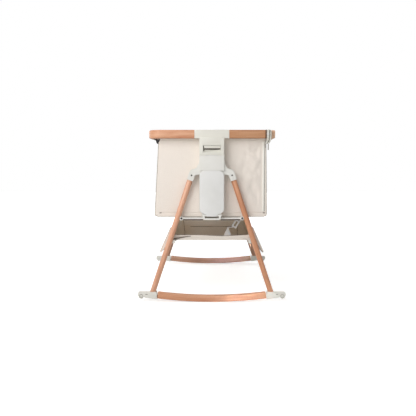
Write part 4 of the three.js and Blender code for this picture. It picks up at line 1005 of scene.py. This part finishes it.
def basket_end(end, side):
    """An end wall of the basket, its deep hem, its bound lower edge, and a taupe line behind the hem and a
    strip at its corner that are painted shade.
    """
    columns = 90
    low, high = basket_line(side * (BASKET_HALF - 0.0012), columns + 1), hem_line(columns + 1)

    def place(u, v):
        k = round(u * columns)
        x, z = low[k] * (1 - v) + high[k] * v
        bulge = 0.0006 * rough(x * 16, z * 16, side * 4) * math.sin(math.pi * v)
        return (x, side * (0.4288 + bulge), z)
    wall = cloth_grid(f"{end}_basket_end", columns, 16, place, (0.78, 0.09), (0, side, 0))
    weld(wall)
    dress(wall, *ON_BASKET, [wall_cloth, lining_cloth])
    thicken(wall, 0.0020, 1)

    def hem_place(u, v):
        x, z = high[round(u * columns)]
        swell = 0.0009 * math.sin(math.pi * v) ** 0.6
        sag = 0.0022 * rough(x * 13, side * 2.0, 1) * ease(0.16 - abs(x), 0.0, 0.03)
        return (x, side * (0.4290 + swell), z + 0.0006 - (0.0212 - sag - 0.6 * float(hem_dip(x))) * (1 - v))
    hem = cloth_grid(f"{end}_basket_hem", columns, 10, hem_place, (0.41, 0.024), (0, side, 0), 0.0006)
    dress(hem, *ON_BASKET, hem_cloth)

    # A taupe line behind the hem's upper edge: painted shade of the lining there
    fold = tube(f"{end}_basket_hem_shade_line", [(x, side * 0.4268, z + 0.0010) for x, z in hem_line(160)
                                           if abs(x) < 0.160], 0.0014)
    dress(fold, *ON_BASKET, taupe_thread_and_shade_cloth, weave=lambda p: (p.x, p.y + p.z))

    # The binding along the lower edge: pale; grey up one side as far as its tip, as painted shade of the
    # underside; and a lighter cream beyond, as painted light
    edge = [(x, side * 0.4282, z + 0.0002) for x, z in basket_line(side * (BASKET_HALF - 0.0012), 160)]
    if side > 0:
        edge.reverse()
    tip = max(range(len(edge)), key=lambda k: edge[k][0] * -side)
    turn = min(k for k in range(tip) if edge[k][0] * -side > 0.180)
    bindings = []
    for label, finish, kept, radius in (("pale", hem_cloth, edge[:turn + 1], 0.0015),
                                        ("grey", grey_tape_and_shade_cloth, edge[turn:tip + 1], 0.0021),
                                        ("side", cream_tape_and_highlight_cloth, edge[tip:], 0.0018)):
        binding = tube(f"{end}_basket_{label}_binding", kept, radius)
        bindings.append(dress(binding, *ON_BASKET, finish, weave=lambda p: (p.x + p.z, p.y)))

    # A taupe strip that comes round the hem at one corner and tapers along it: painted shade of a crease there
    def strip_place(u, v):
        x = -0.180 + 0.086 * u
        middle = 0.2800 + 0.0160 * (1 - (1 - u) ** 1.5)
        half = 0.0046 * (1 - 0.75 * u)
        return (-side * x, side * (0.4320 + 0.0006 * math.sin(math.pi * v)), middle + half * (2 * v - 1))
    strip = cloth_grid(f"{end}_basket_corner_shade_strip", 40, 4, strip_place, (0.083, 0.006), (0, side, 0), 0.0008)
    dress(strip, *ON_BASKET, taupe_thread_and_shade_cloth)
    return [wall, hem, fold, *bindings, strip]


basket_sling()


# The strap under the base, with its side-release buckle and loose tail

def webbing_run(name, path, half, y):
    """A flat webbing strap along a path in X and Z, its face towards the end."""
    length = float(np.hypot(*np.diff(np.array(path), axis=0).T).sum())
    count = max(8, int(length / 0.003))
    line = even_points(path, count + 1)
    relax(line, 10)
    slope = np.gradient(line, axis=0)
    slope /= np.linalg.norm(slope, axis=1)[:, None]

    def place(u, v):
        k = round(v * count)
        (x, z), (dx, dz) = line[k], slope[k]
        offset = (u - 0.5) * 2 * half
        return (x + dz * offset, y, z - dx * offset)
    strap = cloth_grid(name, 6, count, place, (2 * half, length), (0, -1, 0), 0.0016)
    return dress(strap, "bassinet", "webbing", strap_webbing)


def bed_strap():
    """The strap's upper run, its link from the buckle to the tail, the tail and the buckle's frame."""
    y = -0.3808
    upper = webbing_run("base_strap_upper", [(0.133, 0.3881), (0.133, 0.376), (0.124, 0.362)], 0.0095, y)
    webbing_run("base_strap_link", [(0.0985, 0.3300), (0.0880, 0.3290), (0.0745, 0.3300)], 0.0018, y)

    # The loose tail, folded to a fan that opens downwards
    def tail_place(u, v):
        half = 0.0034 + 0.0120 * ease(v, 0.0, 0.9)
        x = 0.0745 - 0.0040 * v + (u - 0.5) * 2 * half
        curl = 0.0014 * math.sin(math.pi * v) - 0.0008 * math.cos(9 * u)
        return (x, y - 0.0018 - 0.0290 * v - curl, 0.3310 - 0.0390 * v + 0.0025 * u * v)
    tail = cloth_grid("base_strap_tail", 12, 16, tail_place, (0.027, 0.040), (0, -1, 0), 0.0014)
    dress(tail, "bassinet", "webbing", strap_webbing)

    # The buckle: a frame with a long slot through it, turned along the strap
    middle, turn = Vector((0.1105, -0.380, 0.346)), math.radians(31.3)
    buckle = block("base_buckle_frame", (-0.0120, -0.0036, -0.0190), (0.0120, 0.0036, 0.0190))
    open_mesh(buckle)
    pick_faces(buckle, lambda c, n: abs(n.y) > 0.9)
    bpy.ops.mesh.inset(thickness=0.0068, use_individual=True)
    bpy.ops.mesh.bridge_edge_loops()
    close_mesh(buckle)
    round_edges(buckle, 0.0011, 3)
    smooth(buckle)
    for vertex in buckle.data.vertices:
        x, z = vertex.co.x, vertex.co.z
        vertex.co = middle + Vector((x * math.cos(turn) + z * math.sin(turn), vertex.co.y,
                                     -x * math.sin(turn) + z * math.cos(turn)))
    dress(buckle, "bassinet", "webbing", cover_plastic)
    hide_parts("bed_strap")


bed_strap()


# Small fittings

def handle_recess_shade(end, side):
    """A dark strip behind a release handle, deepest at its left end: painted shade in the recess."""
    def place(u, v):
        x = -0.0384 + 0.0756 * u
        low = 0.6825 + 0.0020 * (2 * u - 1) ** 2 - 0.0070 * ease(0.10 - u, 0.0, 0.08)
        high = 0.6915 + 0.0100 * (1 - ease(u, 0.025, 0.08))
        return (x * -side, side * 0.4603, low + (high - low) * v)
    recess_strip = cloth_grid(f"{end}_handle_recess_shade_strip", 40, 4, place, (0.074, 0.01), (0, side, 0), 0.0006)
    dress(recess_strip, "bassinet", "black_plastic", recess_shade_plastic)


def corner_trim(end, side):
    """The curved ribs of a corner cap, which run on down below the rail, a dark groove between them and a dark
    strip at the rail's end, both painted shade, and the zip's pull tab.
    """
    rib_y, turn_z = 0.4635, 0.746
    for label, x, top, radius, finish in (("rib_1", 0.2485, 0.7720, 0.0028, housing_plastic),
                                          ("groove", 0.2537, 0.7690, 0.0022, rib_shade),
                                          ("rib_2", 0.2590, 0.7640, 0.0028, housing_plastic)):
        points = [(x, side * rib_y, z) for z in np.linspace(top, turn_z, 8)]
        points += [(x - 0.013 * (1 - math.cos(a)), side * (rib_y - 0.004 * math.sin(a)),
                    turn_z - 0.034 * math.sin(a)) for a in np.linspace(0.12, math.pi / 2, 10)]
        dress(tube(f"{end}_corner_{label}", points, radius), "bassinet", "off_white_plastic", finish)
    # A dark brown strip at the rail's end: painted shade of the gap there
    end_shading = eased_block(f"{end}_rail_end_shade_strip", (0.2352, side * 0.4420, 0.7330),
                         (0.2412, side * 0.4656, 0.7710), 0.0012)
    dress(end_shading, "bassinet", "beech", rail_end_shade_plastic)
    run = ((0.2400, 0.4337, 0.7150), (0.2440, 0.4345, 0.7135),
           (0.2480, 0.4345, 0.7110), (0.2503, 0.4343, 0.7075))
    cord = tube(f"{end}_zip_tab_cord", [(x, side * y, z) for x, y, z in run], 0.0009)
    dress(cord, f"{end}_zip", "zip_metal", zip_metal)
    tab = eased_block(f"{end}_zip_pull_tab", (0.2478, side * 0.4332, 0.6830),
                      (0.2532, side * 0.4352, 0.7090), 0.0016, 3)
    dress(tab, f"{end}_zip", "zip_metal", zip_metal)


def crossbar_trim(end, side, hand_name, hand):
    """The pin's head at one end of a crossbar, and a dark strip under that half: painted shade under the bar.
    """
    take(None)
    bpy.ops.mesh.primitive_cylinder_add(vertices=28, radius=0.0045, depth=0.0040, rotation=(math.pi / 2, 0, 0),
                                        location=(hand * 0.1355, side * 0.4560, 0.3795))
    head = named(f"{end}_{hand_name}_crossbar_pin")
    open_mesh(head)
    pick_faces(head, lambda c, n: side * n.y > 0.9)
    bpy.ops.mesh.inset(thickness=0.0014, depth=-0.0008)
    close_mesh(head)
    round_edges(head, 0.0006, 2)
    smooth(head)
    dress(head, "stand", "dark_screw", screw_metal)
    # A dark strip under the bar: painted shade
    strip = tube(f"{end}_{hand_name}_crossbar_shade_strip",
                 [(hand * x, side * 0.4500, 0.3728) for x in np.linspace(0.040, 0.127, 12)], 0.0023)
    dress(strip, "stand", "black_plastic", crossbar_shade_plastic)


def wall_clip(name, y):
    """A black clip that hangs the left wall on its rail."""
    bend = [(-0.2395, 0.7150), (-0.2425, 0.7118), (-0.2468, 0.7125), (-0.2492, 0.7170), (-0.2510, 0.7240),
            (-0.2535, 0.7300), (-0.2520, 0.7325)]

    def place(u, v):
        spot = u * (len(bend) - 1)
        at = min(int(spot), len(bend) - 2)
        part = spot - at
        x, z = [a * (1 - part) + b * part for a, b in zip(bend[at], bend[at + 1])]
        return (x, y + 0.016 * (v - 0.5), z)
    clip = cloth_grid(name, 24, 4, place, (0.03, 0.016), (-1, 0, 0), 0.0040)
    dress(clip, "bassinet", "black_plastic", black_plastic)


for end, side in ENDS:
    handle_recess_shade(end, side)
for end, side in ENDS:
    corner_trim(end, side)
    for hand_name, hand in HANDS:
        crossbar_trim(end, side, hand_name, hand)
for k, y in enumerate((-0.395, 0.0, 0.395)):
    wall_clip(f"wall_clip_{k + 1}", y)
# The hook and the latch that hold the left wall's corners to the rail
HOOKS = (("hook", 0.0030, [(-0.2478, 0.7318), (-0.2462, 0.7255), (-0.2425, 0.7195), (-0.2395, 0.7150)]),
         ("latch", 0.0034, [(-0.2318, 0.7318), (-0.2345, 0.7262), (-0.2385, 0.7190), (-0.2412, 0.7100)]))
for end, side in ENDS:
    for label, radius, run in HOOKS:
        arm = tube(f"{end}_wall_{label}", [(x, side * 0.4272, z) for x, z in run], radius, sides=8)
        dress(arm, "bassinet", "black_plastic", black_plastic)


# Floor, backdrop and light

def stage_floor():
    """A matt pale floor that keeps the shadows and turns evenly white between 1.1 m and 3 m away."""
    take(None)
    bpy.ops.mesh.primitive_plane_add(size=14, location=(0, 0, -0.0006))
    floor = bpy.context.object
    floor.name = "studio_floor"
    made, tree, shader = start_material("studio_floor_white", Roughness=0.9, Base_Color=(0.86, 0.86, 0.86, 1))
    spot = add_node(tree, "TexCoord").outputs["Object"]
    away = add_node(tree, "VectorMath", {"operation": "LENGTH"}, {}, {0: spot}).outputs["Value"]
    level = add_node(tree, "MapRange", {}, {"From Min": 1.1, "From Max": 3.0, "To Min": 0.5, "To Max": 1.0},
                     {"Value": away})
    seen = add_node(tree, "LightPath").outputs["Is Camera Ray"]
    share = add_node(tree, "Math", {"operation": "MULTIPLY"}, links={0: seen, 1: level})
    glow = add_node(tree, "Emission", {}, {"Color": (1, 1, 1, 1)}, {"Strength": share})
    both = add_node(tree, "AddShader", links={0: shader, 1: glow})
    feed(tree, tree.nodes["Material Output"], {"Surface": both})
    floor.data.materials.append(made)


def studio_light():
    """A white backdrop, as the camera and reflections see it, and six soft lamps."""
    scene = bpy.context.scene
    scene.world = scene.world or bpy.data.worlds.new("studio")
    scene.world.use_nodes = True
    tree = scene.world.node_tree
    tree.nodes.clear()
    rays = add_node(tree, "LightPath").outputs
    seen = add_node(tree, "Math", {"operation": "MAXIMUM"},
                    links={0: rays["Is Camera Ray"], 1: rays["Is Glossy Ray"]})
    seen_too = add_node(tree, "Math", {"operation": "MAXIMUM"}, links={0: seen, 1: rays["Is Transmission Ray"]})
    strength = add_node(tree, "MapRange", {}, {"To Min": 0.31, "To Max": 1.0}, {"Value": seen_too})
    sky = add_node(tree, "Background", {}, {"Color": (1, 1, 1, 1)}, {"Strength": strength})
    add_node(tree, "OutputWorld", links={"Surface": sky})
    for name, place, aim, energy, size, spread in (
            ("key", (-1.35, -2.10, 1.80), (0.0, -0.4, 0.42), 44.0, 1.8, 180),
            ("fill", (0.3, -3.8, 0.6), (0, 0, 0.3), 6.0, 2.4, 180),
            ("top", (0.0, 0.6, 3.6), (0, 0, 0.4), 14.0, 3.0, 180),
            ("back_right", (1.9, 2.3, 1.3), (0, 0.2, 0.3), 26.0, 1.6, 180),
            ("back_left", (-2.1, 2.3, 1.3), (0, 0.2, 0.3), 16.0, 1.6, 180),
            ("low", (0.10, -2.5, 0.14), (0.165, 0.44, -0.045), 0.09, 0.2, 8)):
        lamp = bpy.data.lights.new(name, "AREA")
        lamp.energy, lamp.size, lamp.spread = energy, size, math.radians(spread)
        holder = bpy.data.objects.new(name, lamp)
        scene.collection.objects.link(holder)
        holder.location = place
        holder.rotation_euler = (Vector(aim) - Vector(place)).to_track_quat("-Z", "Y").to_euler()


stage_floor()
studio_light()
bpy.context.scene.view_settings.view_transform = "Standard"
